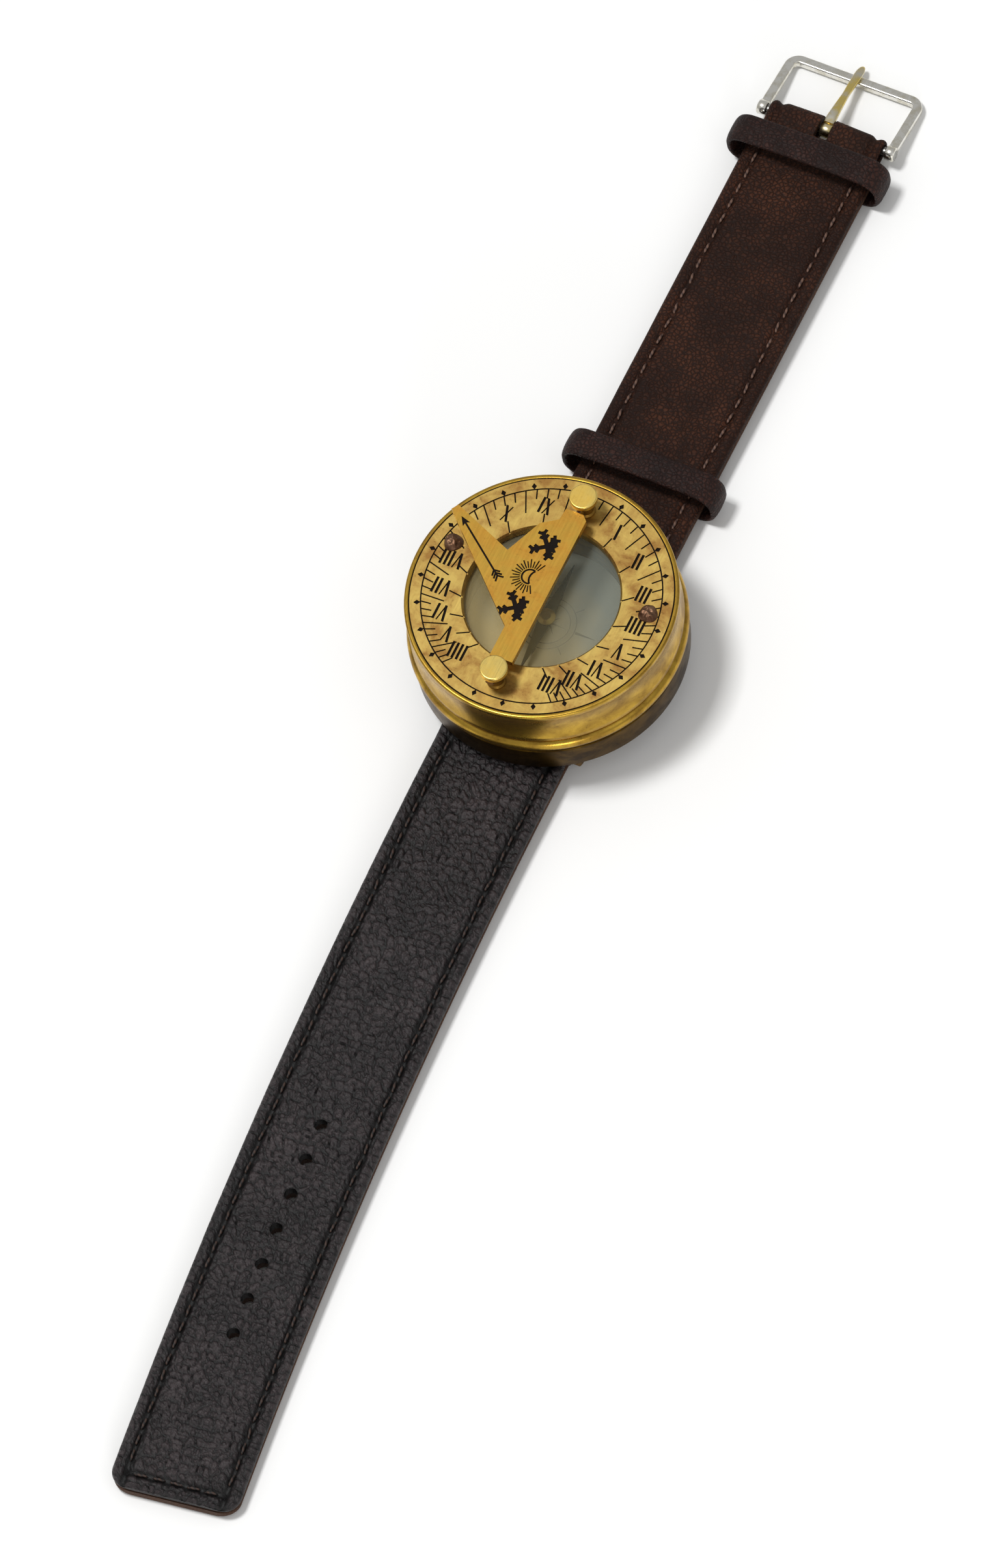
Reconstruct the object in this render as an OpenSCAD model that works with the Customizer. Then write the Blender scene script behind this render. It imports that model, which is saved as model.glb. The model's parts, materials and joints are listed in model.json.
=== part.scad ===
// Wrist sundial compass: a brass compass case with an hour dial and a folding gnomon, on a
// two-piece leather watch strap. Origin: centre of the case back's rest face. +Z is up, +Y points
// to the buckle, which is the noon end of the dial, and +X is to its right. Millimetres.

/* [Strap] */
// Width of both strap pieces
strap_w = 22; // [18:0.5:24]
// Thickness of the outer leather
leather_t = 1.7; // [1.4:0.1:2.2]
// Thickness of the lining leather
lining_t = 1.3; // [1:0.1:2]
// Length of the buckle piece, from its strap bar to the buckle's bar
buckle_piece_len = 88; // [70:1:110]
// Length of the tip piece, from its strap bar to the tip
tip_piece_len = 147.5; // [110:0.5:180]
// How far the tip piece bows to one side at its end
tip_bow = 9; // [2:0.5:14]
// Radius of the tip's corners
tip_corner_r = 3; // [1:0.5:6]
// Number of adjusting holes
hole_count = 7; // [4:1:9]
// Diameter of an adjusting hole
hole_d = 2.2; // [1.4:0.1:2.4]
// Distance from hole to hole
hole_pitch = 6.6; // [5:0.1:8]
// Distance from the tip to the last hole
hole_from_tip = 30.5; // [20:0.5:40]
// Distance from the strap's edge to the seam
seam_inset = 2.5; // [1.5:0.1:4]
// Width of the sewing thread's line
thread_w = 0.5; // [0.3:0.1:0.8]
// How far the thread stands proud of the leather
thread_h = 0.2; // [0.1:0.05:0.3]

/* [Keepers] */
// Length of a keeper along the strap
keeper_len = 5; // [4:0.5:12]
// Thickness of a keeper's leather
keeper_t = 1; // [0.8:0.1:1.4]
// Air beside the strap, inside a keeper
keeper_side_gap = 1.8; // [0.5:0.1:3]
// Room above the strap for its tail, inside a keeper
keeper_room = 3.3; // [3:0.1:5]
// Outer corner radius of a keeper
keeper_corner_r = 3.4; // [2:0.1:4]
// Distance from the strap bar to the middle of the fixed keeper
fixed_keeper_at = 81.25; // [62:0.25:82]
// Distance from the strap bar to the middle of the sliding keeper
free_keeper_at = 18.75; // [16:0.25:40]

/* [Buckle] */
// Radius of the buckle's bar
buckle_bar_r = 0.75; // [0.6:0.05:0.9]
// Distance from the buckle's bar to the outer edge of its frame
buckle_reach = 12; // [9:0.5:16]
// Width of the frame's strip
frame_strip_w = 1.7; // [1.2:0.1:2.2]
// Thickness of the frame's strip
frame_strip_t = 1.4; // [1:0.1:1.6]
// How much narrower the leather is on each side where the frame's arms pass it
end_notch = 0.8; // [0.6:0.1:1.5]
// Width of the tongue
tongue_w = 1.5; // [1:0.1:2.2]
// Thickness of the tongue
tongue_t = 0.8; // [0.6:0.1:1.1]
// How far the tongue reaches past the frame
tongue_over = 1.6; // [0.5:0.1:3]

/* [Case] */
// Outer radius of the case's upper wall
case_r = 22.4; // [21.5:0.1:28]
// Height of the lower band
band_h = 5.5; // [4.5:0.1:9]
// Height of the bead
bead_h = 2.5; // [1.5:0.1:3.5]
// How far the bead stands out of the upper wall
bead_out = 0.6; // [0.3:0.1:1]
// Height of the grooves above and below the bead
groove_h = 0.4; // [0.3:0.1:0.8]
// Depth of these grooves
groove_d = 0.6; // [0.3:0.1:0.8]
// Height of the upper wall
upper_h = 7.9; // [7.5:0.1:12]
// Depth of the hollow sweep round the upper wall
cove_d = 0.45; // [0.2:0.05:0.6]
// Width of the polished rim round the dial
rim_w = 0.75; // [0.6:0.05:1.2]
// Radius of the case back
back_r = 11.5; // [9:0.5:12]
// Thickness of the strap bracket
bracket_t = 0.8; // [0.6:0.1:1.2]
// Distance from the case's centre to each strap bar
bar_y = 15.5; // [15:0.1:17]
// Radius of the strap bars
bar_r = 0.9; // [0.7:0.05:1]

/* [Dial] */
// Thickness of the dial plate
plate_t = 1.6; // [1.2:0.1:2.2]
// Radius of the window in the dial plate
window_r = 12.8; // [11:0.1:13.2]
// Depth of the engraving
engrave_d = 0.2; // [0.1:0.05:0.4]
// Radius of the line round the hour scale
scale_r = 19.65; // [18.5:0.05:19.8]
// Angle from one hour line to the next
hour_step = 16.65; // [14:0.05:18]
// Distance from the dial's centre to the point where the hour lines meet
hour_focus = 6.4; // [4:0.1:8]
// Height of the numerals
numeral_h = 2.95; // [2:0.05:3.4]
// Number of diamonds round the edge
diamond_count = 25; // [16:1:32]
// Thickness of the window glass
glass_t = 1.2; // [1:0.1:1.6]
// Depth of the compass card below the dial
card_depth = 9.2; // [8:0.1:9.4]

/* [Gnomon] */
// Thickness of the gnomon
gnomon_t = 1.1; // [1:0.1:1.4]
// Width of the gnomon's pivot bar
gnomon_bar_w = 4; // [3:0.1:4.2]
// Distance from the pivot to the gnomon's point
gnomon_reach = 19.3; // [15:0.1:19.6]
// Slope of the style edge from the pivot bar, in degrees
style_angle = 43; // [30:1:48]
// Place of the gnomon's point along the noon line
gnomon_point_y = 7.4; // [5:0.1:9]
// Height of the pivot above the dial
pivot_h = 3; // [2.2:0.1:3.4]
// Radius of the pivot pins
pivot_pin_r = 0.33; // [0.3:0.01:0.35]
// Radius of a post's head
post_head_r = 2.3; // [1.8:0.1:2.4]
// Height of a post above the dial
post_h = 4.9; // [4:0.1:5.4]

/* [Compass] */
// Length of the needle
needle_len = 21; // [14:0.5:24]
// Greatest width of the needle
needle_w = 2.4; // [2.2:0.1:3]

/* [Hidden] */
$fn = 96;
fit = 0.05; // running clearance of every pin in its hole
side_gap = 0.4; // air between a strap end and what holds it
floor_gap = 0.1; // the keepers' height above the rest face

// Heights, from the rest face up
strap_z0 = floor_gap + keeper_t;
strap_t = leather_t + lining_t;
loop_r = bar_r + fit + 0.85;
bar_z = strap_z0 + loop_r;
leather_z = strap_z0 + lining_t - bar_z; // the outer leather's underside, from the bar
strap_top = strap_z0 + strap_t - bar_z; // the strap's top, from the bar
case_z0 = bar_z + loop_r + 0.2;
bead_z = case_z0 + band_h + groove_h;
upper_z0 = bead_z + bead_h + groove_h;
dial_z = upper_z0 + upper_h;
plate_z0 = dial_z - plate_t;
glass_z0 = plate_z0 - glass_t;
flange_t = 1.2;
flange_z0 = glass_z0 - flange_t;
ledge_t = 1.2;
ledge_z0 = flange_z0 - ledge_t;
card_t = 0.4;
card_z0 = dial_z - card_depth - card_t;
bowl_floor_t = 1;

// Radii of the case's pieces
band_r = case_r + 0.1;
plate_r = case_r - rim_w - fit;
seat_r = plate_r - 2.25;
glass_r = window_r + 1.2;
bowl_in_r = window_r + 0.5;
bowl_r = bowl_in_r + 1.3;
ledge_in_r = bowl_r + 1;
spigot_r = case_r - 2;
base_in_r = spigot_r - 1.2;
base_floor_t = 2;
edge_r = 0.4; // small edge breaks

// Strap bracket and back screws
ear_t = 1.2;
ear_x = strap_w / 2 + side_gap;
ear_r = 1.9;
screw_count = 3;
screw_at = back_r - 3.5;
screw_r = 0.8;
screw_head_r = 1.5;
screw_sink = 0.2;
screw_head_h = 1;

// Rivets and posts
rivet_at = [17.5, 3.5];
rivet_r = 0.8;
rivet_head_r = 1.5;
rivet_head_h = 0.8;
rivet_tail_r = 1.15;
rivet_tail_h = 0.7;
post_r = 1.3;
post_tail_r = 0.9;
post_head_h = 1.1;
nut_r = 1.9;
post_y = glass_r + nut_r + 1; // the nuts clear the glass
pivot_z = dial_z + pivot_h;

// Buckle
arm_x = strap_w / 2 - end_notch + side_gap; // inside of the frame's arms
frame_x = arm_x + frame_strip_w;
frame_eye_r = buckle_bar_r + fit + 0.6;
slot_w = tongue_w + 0.9;
tongue_eye_w = tongue_w + 0.5;
buckle_y = bar_y + buckle_piece_len;
// The buckle leans down until its outer bar meets the surface that the rest face is on
buckle_lean = asin((bar_z - frame_strip_t / 2 - floor_gap) / (buckle_reach - frame_strip_w / 2));

// The tip piece lies at a small slope, so that its end meets the same surface
tip_slope = asin((strap_z0 - floor_gap) / tip_piece_len);
bow_r = tip_piece_len * tip_piece_len / (2 * tip_bow);

// Keepers
keeper_x = strap_w / 2 + keeper_side_gap + keeper_t;
keeper_top = strap_z0 + strap_t + keeper_room + keeper_t;

// Gnomon outline, with x towards the pivot and the point at -gnomon_reach
bar_x = gnomon_bar_w / 2;
bar_end = post_y - post_head_r - 0.2;
point_cut = [0.75, 1.1];
notch = [7.6, 4];
shoulder = [4.85, 10.4];
shoulder_foot = 12.2;
bar_chamfer = 0.9;
style_foot = gnomon_point_y - (gnomon_reach - bar_x) * tan(style_angle);

// Compass
pin_r = 0.42;
pin_top = card_z0 + card_t + 1.85;
needle_t = 0.35;
needle_z = pin_top - 0.25;
cap_r = 0.9;
cap_flange_r = 1.5;

// Engraving
line_w = 0.24;
thick_w = 0.44;
bold_w = 0.32;
diamond = [0.85, 1.2];
half_hour_tick = 4.1;
quarter_tick = 1.8;
numeral_r = 16.5;
hour_line_r = [window_r - 0.3, 15.1];
NUMERALS = ["XII", "I", "II", "III", "IIII", "V", "VI", "VII", "VIII", "IX", "X", "XI"];
last_hour = 8;

// ---- shared shapes ----

// A cylinder along X, centred on it
module x_rod(r, len) {
    rotate([0, 90, 0]) cylinder(r = r, h = len, center = true);
}

// A plain ring standing on z0
module ring(r_out, r_in, z0, h) {
    translate([0, 0, z0]) difference() {
        cylinder(r = r_out, h = h);
        translate([0, 0, -1]) cylinder(r = r_in, h = h + 2);
    }
}

module round_rect(w, h, r) {
    square([w - 2 * r, h], center = true);
    square([w, h - 2 * r], center = true);
    for (x = [-1, 1], y = [-1, 1])
        translate([x * (w / 2 - r), y * (h / 2 - r)]) circle(r = r);
}

module at_screws() {
    for (i = [0 : screw_count - 1])
        rotate([0, 0, i * 360 / screw_count]) translate([0, screw_at, 0]) children();
}

module at_rivets() {
    for (x = [-1, 1]) translate([x * rivet_at[0], rivet_at[1], 0]) children();
}

module at_posts() {
    for (a = [0, 180]) rotate([0, 0, a]) translate([0, post_y, 0]) children();
}

// ---- case ----

// The turned disc that rests on the wrist and clamps the bracket to the case
module case_back() {
    color("#8f6a26") difference() {
        rotate_extrude() polygon([
            [0, 0], [back_r - edge_r, 0], [back_r, edge_r], [back_r, case_z0 - bracket_t],
            [0, case_z0 - bracket_t]
        ]);
        at_screws() {
            translate([0, 0, -1]) cylinder(r = screw_r + fit, h = case_z0 + 1);
            translate([0, 0, -1]) cylinder(r = screw_head_r + fit, h = 1 + screw_sink + screw_head_h);
        }
    }
}

module back_screws() {
    color("#b5912f") at_screws() difference() {
        union() {
            translate([0, 0, screw_sink]) cylinder(r = screw_head_r, h = screw_head_h);
            translate([0, 0, screw_sink]) cylinder(r = screw_r, h = case_z0 + 1.4 - screw_sink);
        }
        translate([-screw_head_r - 1, -0.2, screw_sink - 1])
            cube([2 * screw_head_r + 2, 0.4, 1.4]);
    }
}

// The strip under the case whose four ears hold the strap bars
module strap_bracket() {
    ear_x1 = ear_x + ear_t;
    color("#7d6023") difference() {
        union() {
            translate([-ear_x1, -bar_y + loop_r + 0.7, case_z0 - bracket_t])
                cube([2 * ear_x1, 2 * (bar_y - loop_r - 0.7), bracket_t]);
            for (x = [-1, 1], y = [-1, 1]) translate([x * (ear_x + ear_t / 2), y * bar_y, 0]) {
                translate([0, 0, bar_z]) x_rod(ear_r, ear_t);
                translate([-ear_t / 2, y > 0 ? -ear_r - 3 : -ear_r, bar_z])
                    cube([ear_t, 2 * ear_r + 3, case_z0 - bar_z]);
            }
        }
        for (y = [-1, 1]) translate([0, y * bar_y, bar_z]) x_rod(bar_r, 2 * ear_x1 + 2);
        at_screws() cylinder(r = screw_r + fit, h = case_z0 + 1);
    }
}

module strap_bars() {
    color("silver") for (y = [-1, 1])
        translate([0, y * bar_y, bar_z]) x_rod(bar_r, 2 * (ear_x + ear_t));
}

// The lower bowl with its band, groove, bead and the spigot that the upper ring sits on
module case_base() {
    bead_mid = bead_z + bead_h / 2;
    top = upper_z0;
    color("#8a6d2a") difference() {
        rotate_extrude() {
            difference() {
                union() {
                    polygon([
                        [0, case_z0], [band_r - edge_r, case_z0], [band_r, case_z0 + edge_r],
                        [band_r, bead_z - groove_h], [case_r - groove_d, bead_z - groove_h],
                        [case_r - groove_d, top], [spigot_r, top], [spigot_r, ledge_z0 - 0.2],
                        [0, ledge_z0 - 0.2]
                    ]);
                    translate([case_r + bead_out - bead_h / 2, bead_mid]) circle(r = bead_h / 2);
                }
                translate([-1, case_z0 + base_floor_t]) square([base_in_r + 1, dial_z]);
            }
        }
        at_screws() cylinder(r = screw_r, h = case_z0 + 1.4);
    }
}

// The upper ring: the hollow-swept wall, the polished rim and the inner ledges
module upper_ring() {
    wall_mid = upper_z0 + upper_h / 2;
    sweep_half = upper_h / 2 - 0.9;
    sweep_r = (sweep_half * sweep_half + cove_d * cove_d) / (2 * cove_d);
    color("#b08c34") difference() {
        rotate_extrude() difference() {
            polygon([
                [ledge_in_r, ledge_z0], [ledge_in_r, flange_z0], [seat_r, flange_z0],
                [seat_r, plate_z0], [plate_r + fit, plate_z0], [plate_r + fit, dial_z],
                [case_r - edge_r, dial_z], [case_r, dial_z - edge_r], [case_r, upper_z0],
                [spigot_r + fit, upper_z0], [spigot_r + fit, ledge_z0]
            ]);
            translate([case_r + sweep_r - cove_d, wall_mid]) circle(r = sweep_r, $fn = 180);
        }
        at_rivets() translate([0, 0, ledge_z0 - 1]) cylinder(r = rivet_r, h = 4);
    }
}

// The flanged cup that holds the compass and hangs from the upper ring's ledge
module compass_bowl() {
    floor_z = card_z0 - bowl_floor_t;
    color("#9a7a30") difference() {
        rotate_extrude() polygon([
            [0, floor_z], [bowl_r, floor_z], [bowl_r, flange_z0], [seat_r - fit, flange_z0],
            [seat_r - fit, glass_z0], [bowl_in_r, glass_z0], [bowl_in_r, card_z0], [0, card_z0]
        ]);
        at_rivets() translate([0, 0, flange_z0 - 1]) cylinder(r = rivet_r, h = 4);
        translate([0, 0, floor_z + 0.3]) cylinder(r = pin_r, h = 4);
    }
}

module compass_card() {
    color("#9c9a80") ring(bowl_in_r - fit, pin_r, card_z0, card_t);
}

// The steel point that the needle turns on
module needle_pin() {
    color("#8d8f93") translate([0, 0, card_z0 - bowl_floor_t + 0.3])
        cylinder(r = pin_r, h = pin_top - card_z0 + bowl_floor_t - 0.3);
}

module compass_needle() {
    color("#23272b") translate([0, 0, needle_z]) linear_extrude(needle_t) difference() {
        polygon([
            [0, needle_len / 2], [-needle_w / 2, 0], [0, -needle_len / 2], [needle_w / 2, 0]
        ]);
        circle(r = cap_r);
    }
}

module needle_cap() {
    color("#c9a544") rotate_extrude() polygon([
        [pin_r + 0.08, needle_z - 0.4], [cap_r, needle_z - 0.4], [cap_r, needle_z + needle_t],
        [cap_flange_r, needle_z + needle_t], [cap_flange_r, needle_z + needle_t + 0.3],
        [0.8, needle_z + needle_t + 0.65], [0, needle_z + needle_t + 0.65], [0, pin_top + 0.05],
        [pin_r + 0.08, pin_top + 0.05]
    ]);
}

// The spacer ring round the glass, with pockets for the post nuts
module glass_seat() {
    color("#7f6527") difference() {
        ring(seat_r - fit, glass_r, glass_z0, glass_t);
        at_posts() translate([0, 0, glass_z0 - 1]) cylinder(r = nut_r + 0.15, h = glass_t + 2);
        at_rivets() translate([0, 0, glass_z0 - 1]) cylinder(r = rivet_r, h = glass_t + 2);
    }
}

module window_glass() {
    color("#d7e0da", 0.35) translate([0, 0, glass_z0]) cylinder(r = glass_r - fit, h = glass_t);
}

// ---- dial ----

// Distance along an hour line from its focus to the circle of radius r
function hour_reach(a, r) =
    hour_focus * cos(a) + sqrt(r * r - pow(hour_focus * sin(a), 2));

// The point where the hour line at angle a, clockwise from noon, meets the circle of radius r
function hour_point(a, r) =
    [sin(a) * hour_reach(a, r), cos(a) * hour_reach(a, r) - hour_focus];

// An engraved line from p to q
module stroke(p, q, w) {
    d = q - p;
    translate(p) rotate(atan2(d[1], d[0])) translate([0, -w / 2]) square([norm(d), w]);
}

// A stroke of a letter, cut level at its foot and top
module letter_stroke(x0, x1, w) {
    h = numeral_h / 2;
    polygon([[x0 - w / 2, -h], [x0 + w / 2, -h], [x1 + w / 2, h], [x1 - w / 2, h]]);
}

function letter_w(c) = c == "I" ? 0.78 : c == "V" ? 1.6 : 1.5;

function numeral_x(s, i) = i == 0 ? 0 : numeral_x(s, i - 1) + letter_w(s[i - 1]);

module letter(c) {
    if (c == "I") letter_stroke(0, 0, thick_w);
    if (c == "V") {
        letter_stroke(0, -0.55, thick_w);
        letter_stroke(0, 0.55, line_w);
    }
    if (c == "X") {
        letter_stroke(0.5, -0.5, thick_w);
        letter_stroke(-0.5, 0.5, line_w);
    }
}

module numeral(s) {
    w = numeral_x(s, len(s) - 1) + letter_w(s[len(s) - 1]);
    for (i = [0 : len(s) - 1])
        translate([numeral_x(s, i) + letter_w(s[i]) / 2 - w / 2, 0]) letter(s[i]);
}

// Quarter-hour ticks from the scale's line inward, with a longer one at each half hour; noon
// itself is under the post
module hour_ticks() {
    for (q = [-4 * last_hour - 1 : 4 * last_hour + 1]) if (q != 0) {
        a = q * hour_step / 4;
        p = hour_point(a, scale_r);
        tick = abs(q) % 4 == 2 ? half_hour_tick : quarter_tick;
        stroke(p, p - tick * [sin(a), cos(a)], line_w);
    }
}

// Each numeral stands upright as read from the buckle
module hour_numerals() {
    for (h = [-last_hour : last_hour]) if (h != 0) {
        a = h * hour_step;
        stroke(hour_point(a, hour_line_r[0]), hour_point(a, hour_line_r[1]), line_w);
        translate(hour_point(a, numeral_r)) rotate(180) numeral(NUMERALS[(h + 12) % 12]);
    }
}

module edge_diamonds() {
    for (i = [1 : diamond_count - 1])
        rotate(i * 360 / diamond_count) translate([0, scale_r + diamond[1] / 2]) polygon([
            [0, diamond[1] / 2], [-diamond[0] / 2, 0], [0, -diamond[1] / 2], [diamond[0] / 2, 0]
        ]);
}

module dial_plate() {
    color("#b9963c") difference() {
        rotate_extrude() polygon([
            [window_r, plate_z0], [plate_r, plate_z0], [plate_r, dial_z], [window_r + 0.3, dial_z],
            [window_r, dial_z - 0.3]
        ]);
        translate([0, 0, dial_z - engrave_d]) linear_extrude(1) {
            hour_ticks();
            hour_numerals();
            edge_diamonds();
            difference() {
                circle(r = scale_r + line_w / 2);
                circle(r = scale_r - line_w / 2);
            }
        }
        at_rivets() translate([0, 0, plate_z0 - 1]) cylinder(r = rivet_r, h = plate_t + 2);
        at_posts() translate([0, 0, plate_z0 - 1]) cylinder(r = post_tail_r, h = plate_t + 2);
    }
}

// Domed rivets through the dial, the spacer, the compass flange and the ledge
module dial_rivets() {
    dome_r = (rivet_head_r * rivet_head_r + rivet_head_h * rivet_head_h) / (2 * rivet_head_h);
    color("#7a4a30") at_rivets() {
        translate([0, 0, ledge_z0]) cylinder(r = rivet_r, h = dial_z - ledge_z0);
        translate([0, 0, ledge_z0 - rivet_tail_h]) cylinder(r = rivet_tail_r, h = rivet_tail_h);
        intersection() {
            translate([0, 0, dial_z + rivet_head_h - dome_r]) sphere(r = dome_r);
            translate([0, 0, dial_z]) cylinder(r = 2 * rivet_head_r, h = 2 * rivet_head_h);
        }
    }
}

// ---- gnomon ----

module gnomon_posts() {
    neck = post_h - post_head_h;
    color("#cfae4c") at_posts() difference() {
        rotate_extrude() polygon([
            [0, glass_z0 + 0.1], [post_tail_r, glass_z0 + 0.1], [post_tail_r, dial_z],
            [post_r, dial_z], [post_r, dial_z + neck], [post_head_r, dial_z + neck],
            [post_head_r, dial_z + post_h - 0.2], [post_head_r - 0.2, dial_z + post_h],
            [0, dial_z + post_h]
        ]);
        translate([0, 0, pivot_z]) rotate([90, 0, 0])
            cylinder(r = pivot_pin_r, h = 4 * post_r, center = true);
    }
}

module post_nuts() {
    color("#b5912f") at_posts() translate([0, 0, glass_z0 + 0.05]) difference() {
        cylinder(r = nut_r, h = glass_t - 0.1, $fn = 6);
        translate([0, 0, -1]) cylinder(r = post_tail_r, h = glass_t + 2);
    }
}

// Pins through the posts into the ends of the gnomon's bar, each with a peened outer end
module pivot_pins() {
    outer = post_r + 0.5;
    inner = post_y - bar_end + 3;
    color("#a8694f") at_posts() translate([0, 0, pivot_z]) rotate([-90, 0, 0]) {
        translate([0, 0, -inner]) cylinder(r = pivot_pin_r, h = inner + outer);
        translate([0, 0, post_r + 0.1]) cylinder(r = pivot_pin_r + 0.4, h = outer - post_r + 0.1);
    }
}

module gnomon_outline() {
    polygon([
        [bar_x, -bar_end], [bar_x, bar_end - bar_chamfer], [bar_x - bar_chamfer, bar_end],
        [-bar_x, bar_end], [-bar_x - 0.2, shoulder_foot], [-shoulder[0], shoulder[1]],
        [-notch[0], notch[1]], [point_cut[0] - gnomon_reach, gnomon_point_y + point_cut[1]],
        [-gnomon_reach, gnomon_point_y], [-bar_x, style_foot], [-bar_x, -bar_end]
    ]);
}

// A sprig: branches from one middle, each with two pairs of short blunt twigs
module sprig() {
    branch_w = 0.76;
    twig_w = 0.56;
    circle(r = 0.6);
    for (branch = [[130, 2.9], [64, 1.9], [214, 2.8], [-60, 2.2], [2, 1.1]]) rotate(branch[0]) {
        stroke([0, 0], [branch[1], 0], branch_w);
        for (side = [-1, 1], share = [0.5, 0.82])
            translate([branch[1] * share, 0]) rotate(side * 50) stroke([0, 0], [0.95, 0], twig_w);
    }
}

// A half sun with rays, closed by a hollow curve
module half_sun() {
    r = 1.45;
    cut = 0.5;
    hollow_r = 1.9;
    hollow_x = r + 0.3;
    difference() {
        circle(r = r);
        circle(r = r - bold_w);
        translate([cut, -2 * r]) square([2 * r, 4 * r]);
    }
    difference() {
        intersection() {
            translate([hollow_x, 0]) circle(r = hollow_r);
            circle(r = r - bold_w / 2);
        }
        translate([hollow_x, 0]) circle(r = hollow_r - bold_w);
    }
    for (i = [0 : 20]) rotate(62 + i * 11.8)
        stroke([r + 0.15, 0], [r + (i % 2 == 0 ? 1.75 : 1.4), 0], line_w * 0.9);
}

// An arrow with a barbed head and a feathered tail
module arrow(len) {
    stroke([0.3, 0], [len - 1.2, 0], bold_w);
    polygon([[len, 0], [len - 1.8, 0.7], [len - 1.4, 0], [len - 1.8, -0.7]]);
    for (i = [0 : 2], side = [-1, 1])
        stroke([0.6 * i + 0.5, 0], [0.6 * i - 0.3, side * 0.75], bold_w);
}

module gnomon() {
    arrow_from = [-6.7, -1.2];
    arrow_to = [-17.2, 6.8];
    arrow_d = arrow_to - arrow_from;
    color("#d0ac48") difference() {
        translate([0, 0, pivot_z - gnomon_t / 2]) linear_extrude(gnomon_t) gnomon_outline();
        translate([0, 0, pivot_z + gnomon_t / 2 - engrave_d]) linear_extrude(1) {
            translate(arrow_from) rotate(atan2(arrow_d[1], arrow_d[0])) arrow(norm(arrow_d));
            translate([-2.15, 0.9]) half_sun();
            translate([-1.85, 7]) sprig();
            translate([-1.8, -5]) sprig();
        }
        for (y = [-1, 1]) translate([0, y * bar_end, pivot_z]) rotate([90, 0, 0])
            cylinder(r = pivot_pin_r + fit, h = 6.4, center = true);
    }
}

// ---- strap, drawn from each strap bar ----

module at_buckle_piece() {
    translate([0, bar_y, bar_z]) children();
}

module at_tip_piece() {
    translate([0, -bar_y, bar_z]) rotate([tip_slope, 0, 0]) children();
}

// The slot that lets the tongue's eye turn on the buckle's bar
module tongue_slot() {
    slot_from = buckle_piece_len - frame_eye_r - 1;
    translate([-slot_w / 2, slot_from, -2 * loop_r]) cube([slot_w, 2 * buckle_reach, 4 * loop_r]);
}

module buckle_piece_outline(from, to) {
    x = strap_w / 2;
    notch_y = buckle_piece_len - 4;
    polygon([
        [-x, from], [x, from], [x, notch_y - 1], [x - end_notch, notch_y], [x - end_notch, to],
        [end_notch - x, to], [end_notch - x, notch_y], [-x, notch_y - 1]
    ]);
}

module buckle_piece_leather() {
    color("#35231d") at_buckle_piece() difference() {
        union() {
            x_rod(loop_r, strap_w);
            translate([0, 0, leather_z]) linear_extrude(leather_t)
                buckle_piece_outline(0, buckle_piece_len);
            translate([0, buckle_piece_len, 0]) x_rod(loop_r, strap_w - 2 * end_notch);
        }
        x_rod(bar_r + fit, strap_w + 2);
        translate([0, buckle_piece_len, 0]) x_rod(buckle_bar_r, strap_w + 2);
        tongue_slot();
    }
}

module buckle_piece_lining() {
    color("#4a3226") at_buckle_piece() difference() {
        translate([0, 0, -loop_r]) linear_extrude(lining_t)
            buckle_piece_outline(loop_r + 0.2, buckle_piece_len - loop_r - 0.1);
        tongue_slot();
    }
}

module buckle_piece_seam() {
    seam_end = fixed_keeper_at + keeper_len / 2;
    color("#1d130f") at_buckle_piece() for (x = [-1, 1])
        translate([x * (strap_w / 2 - seam_inset) - thread_w / 2, loop_r + 1.5, strap_top])
            cube([thread_w, seam_end - loop_r - 1.5, thread_h]);
}

// A leather loop with its middle at distance s from the strap bar, cut clear of the strap by gap
module keeper(s, gap) {
    h = keeper_top - floor_gap;
    translate([0, bar_y + s, 0]) difference() {
        translate([0, 0, floor_gap + h / 2]) rotate([90, 0, 0])
            linear_extrude(keeper_len, center = true) difference() {
                round_rect(2 * keeper_x, h, keeper_corner_r);
                round_rect(2 * (keeper_x - keeper_t), h - 2 * keeper_t, keeper_corner_r - keeper_t);
            }
        translate([-strap_w / 2 - gap, -keeper_len, strap_z0 - gap])
            cube([strap_w + 2 * gap, 2 * keeper_len, strap_t + gap]);
    }
}

module fixed_keeper() {
    color("#3a2720") keeper(fixed_keeper_at, 0);
}

module sliding_keeper() {
    color("#3a2720") keeper(free_keeper_at, fit);
}

module buckle_bar() {
    color("silver") translate([0, buckle_y, bar_z]) x_rod(buckle_bar_r, 2 * frame_x);
}

// The buckle's pieces are drawn flat, with the bar at the origin, and then leaned
module at_buckle() {
    translate([0, buckle_y, bar_z]) rotate([-buckle_lean, 0, 0]) children();
}

module buckle_frame() {
    corner_r = 2.4;
    color("#c9cbcc") at_buckle() difference() {
        union() {
            translate([0, 0, -frame_strip_t / 2]) linear_extrude(frame_strip_t) difference() {
                union() {
                    translate([-frame_x, 0]) square([2 * frame_x, buckle_reach - corner_r]);
                    translate([corner_r - frame_x, 0]) square([2 * (frame_x - corner_r), buckle_reach]);
                    for (x = [-1, 1]) translate([x * (frame_x - corner_r), buckle_reach - corner_r])
                        circle(r = corner_r);
                }
                translate([-arm_x, -1]) square([2 * arm_x, buckle_reach + 1 - frame_strip_w]);
            }
            for (x = [-1, 1]) translate([x * (arm_x + frame_strip_w / 2), 0, 0])
                x_rod(frame_eye_r, frame_strip_w);
        }
        x_rod(buckle_bar_r + fit, 2 * frame_x + 2);
    }
}

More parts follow.
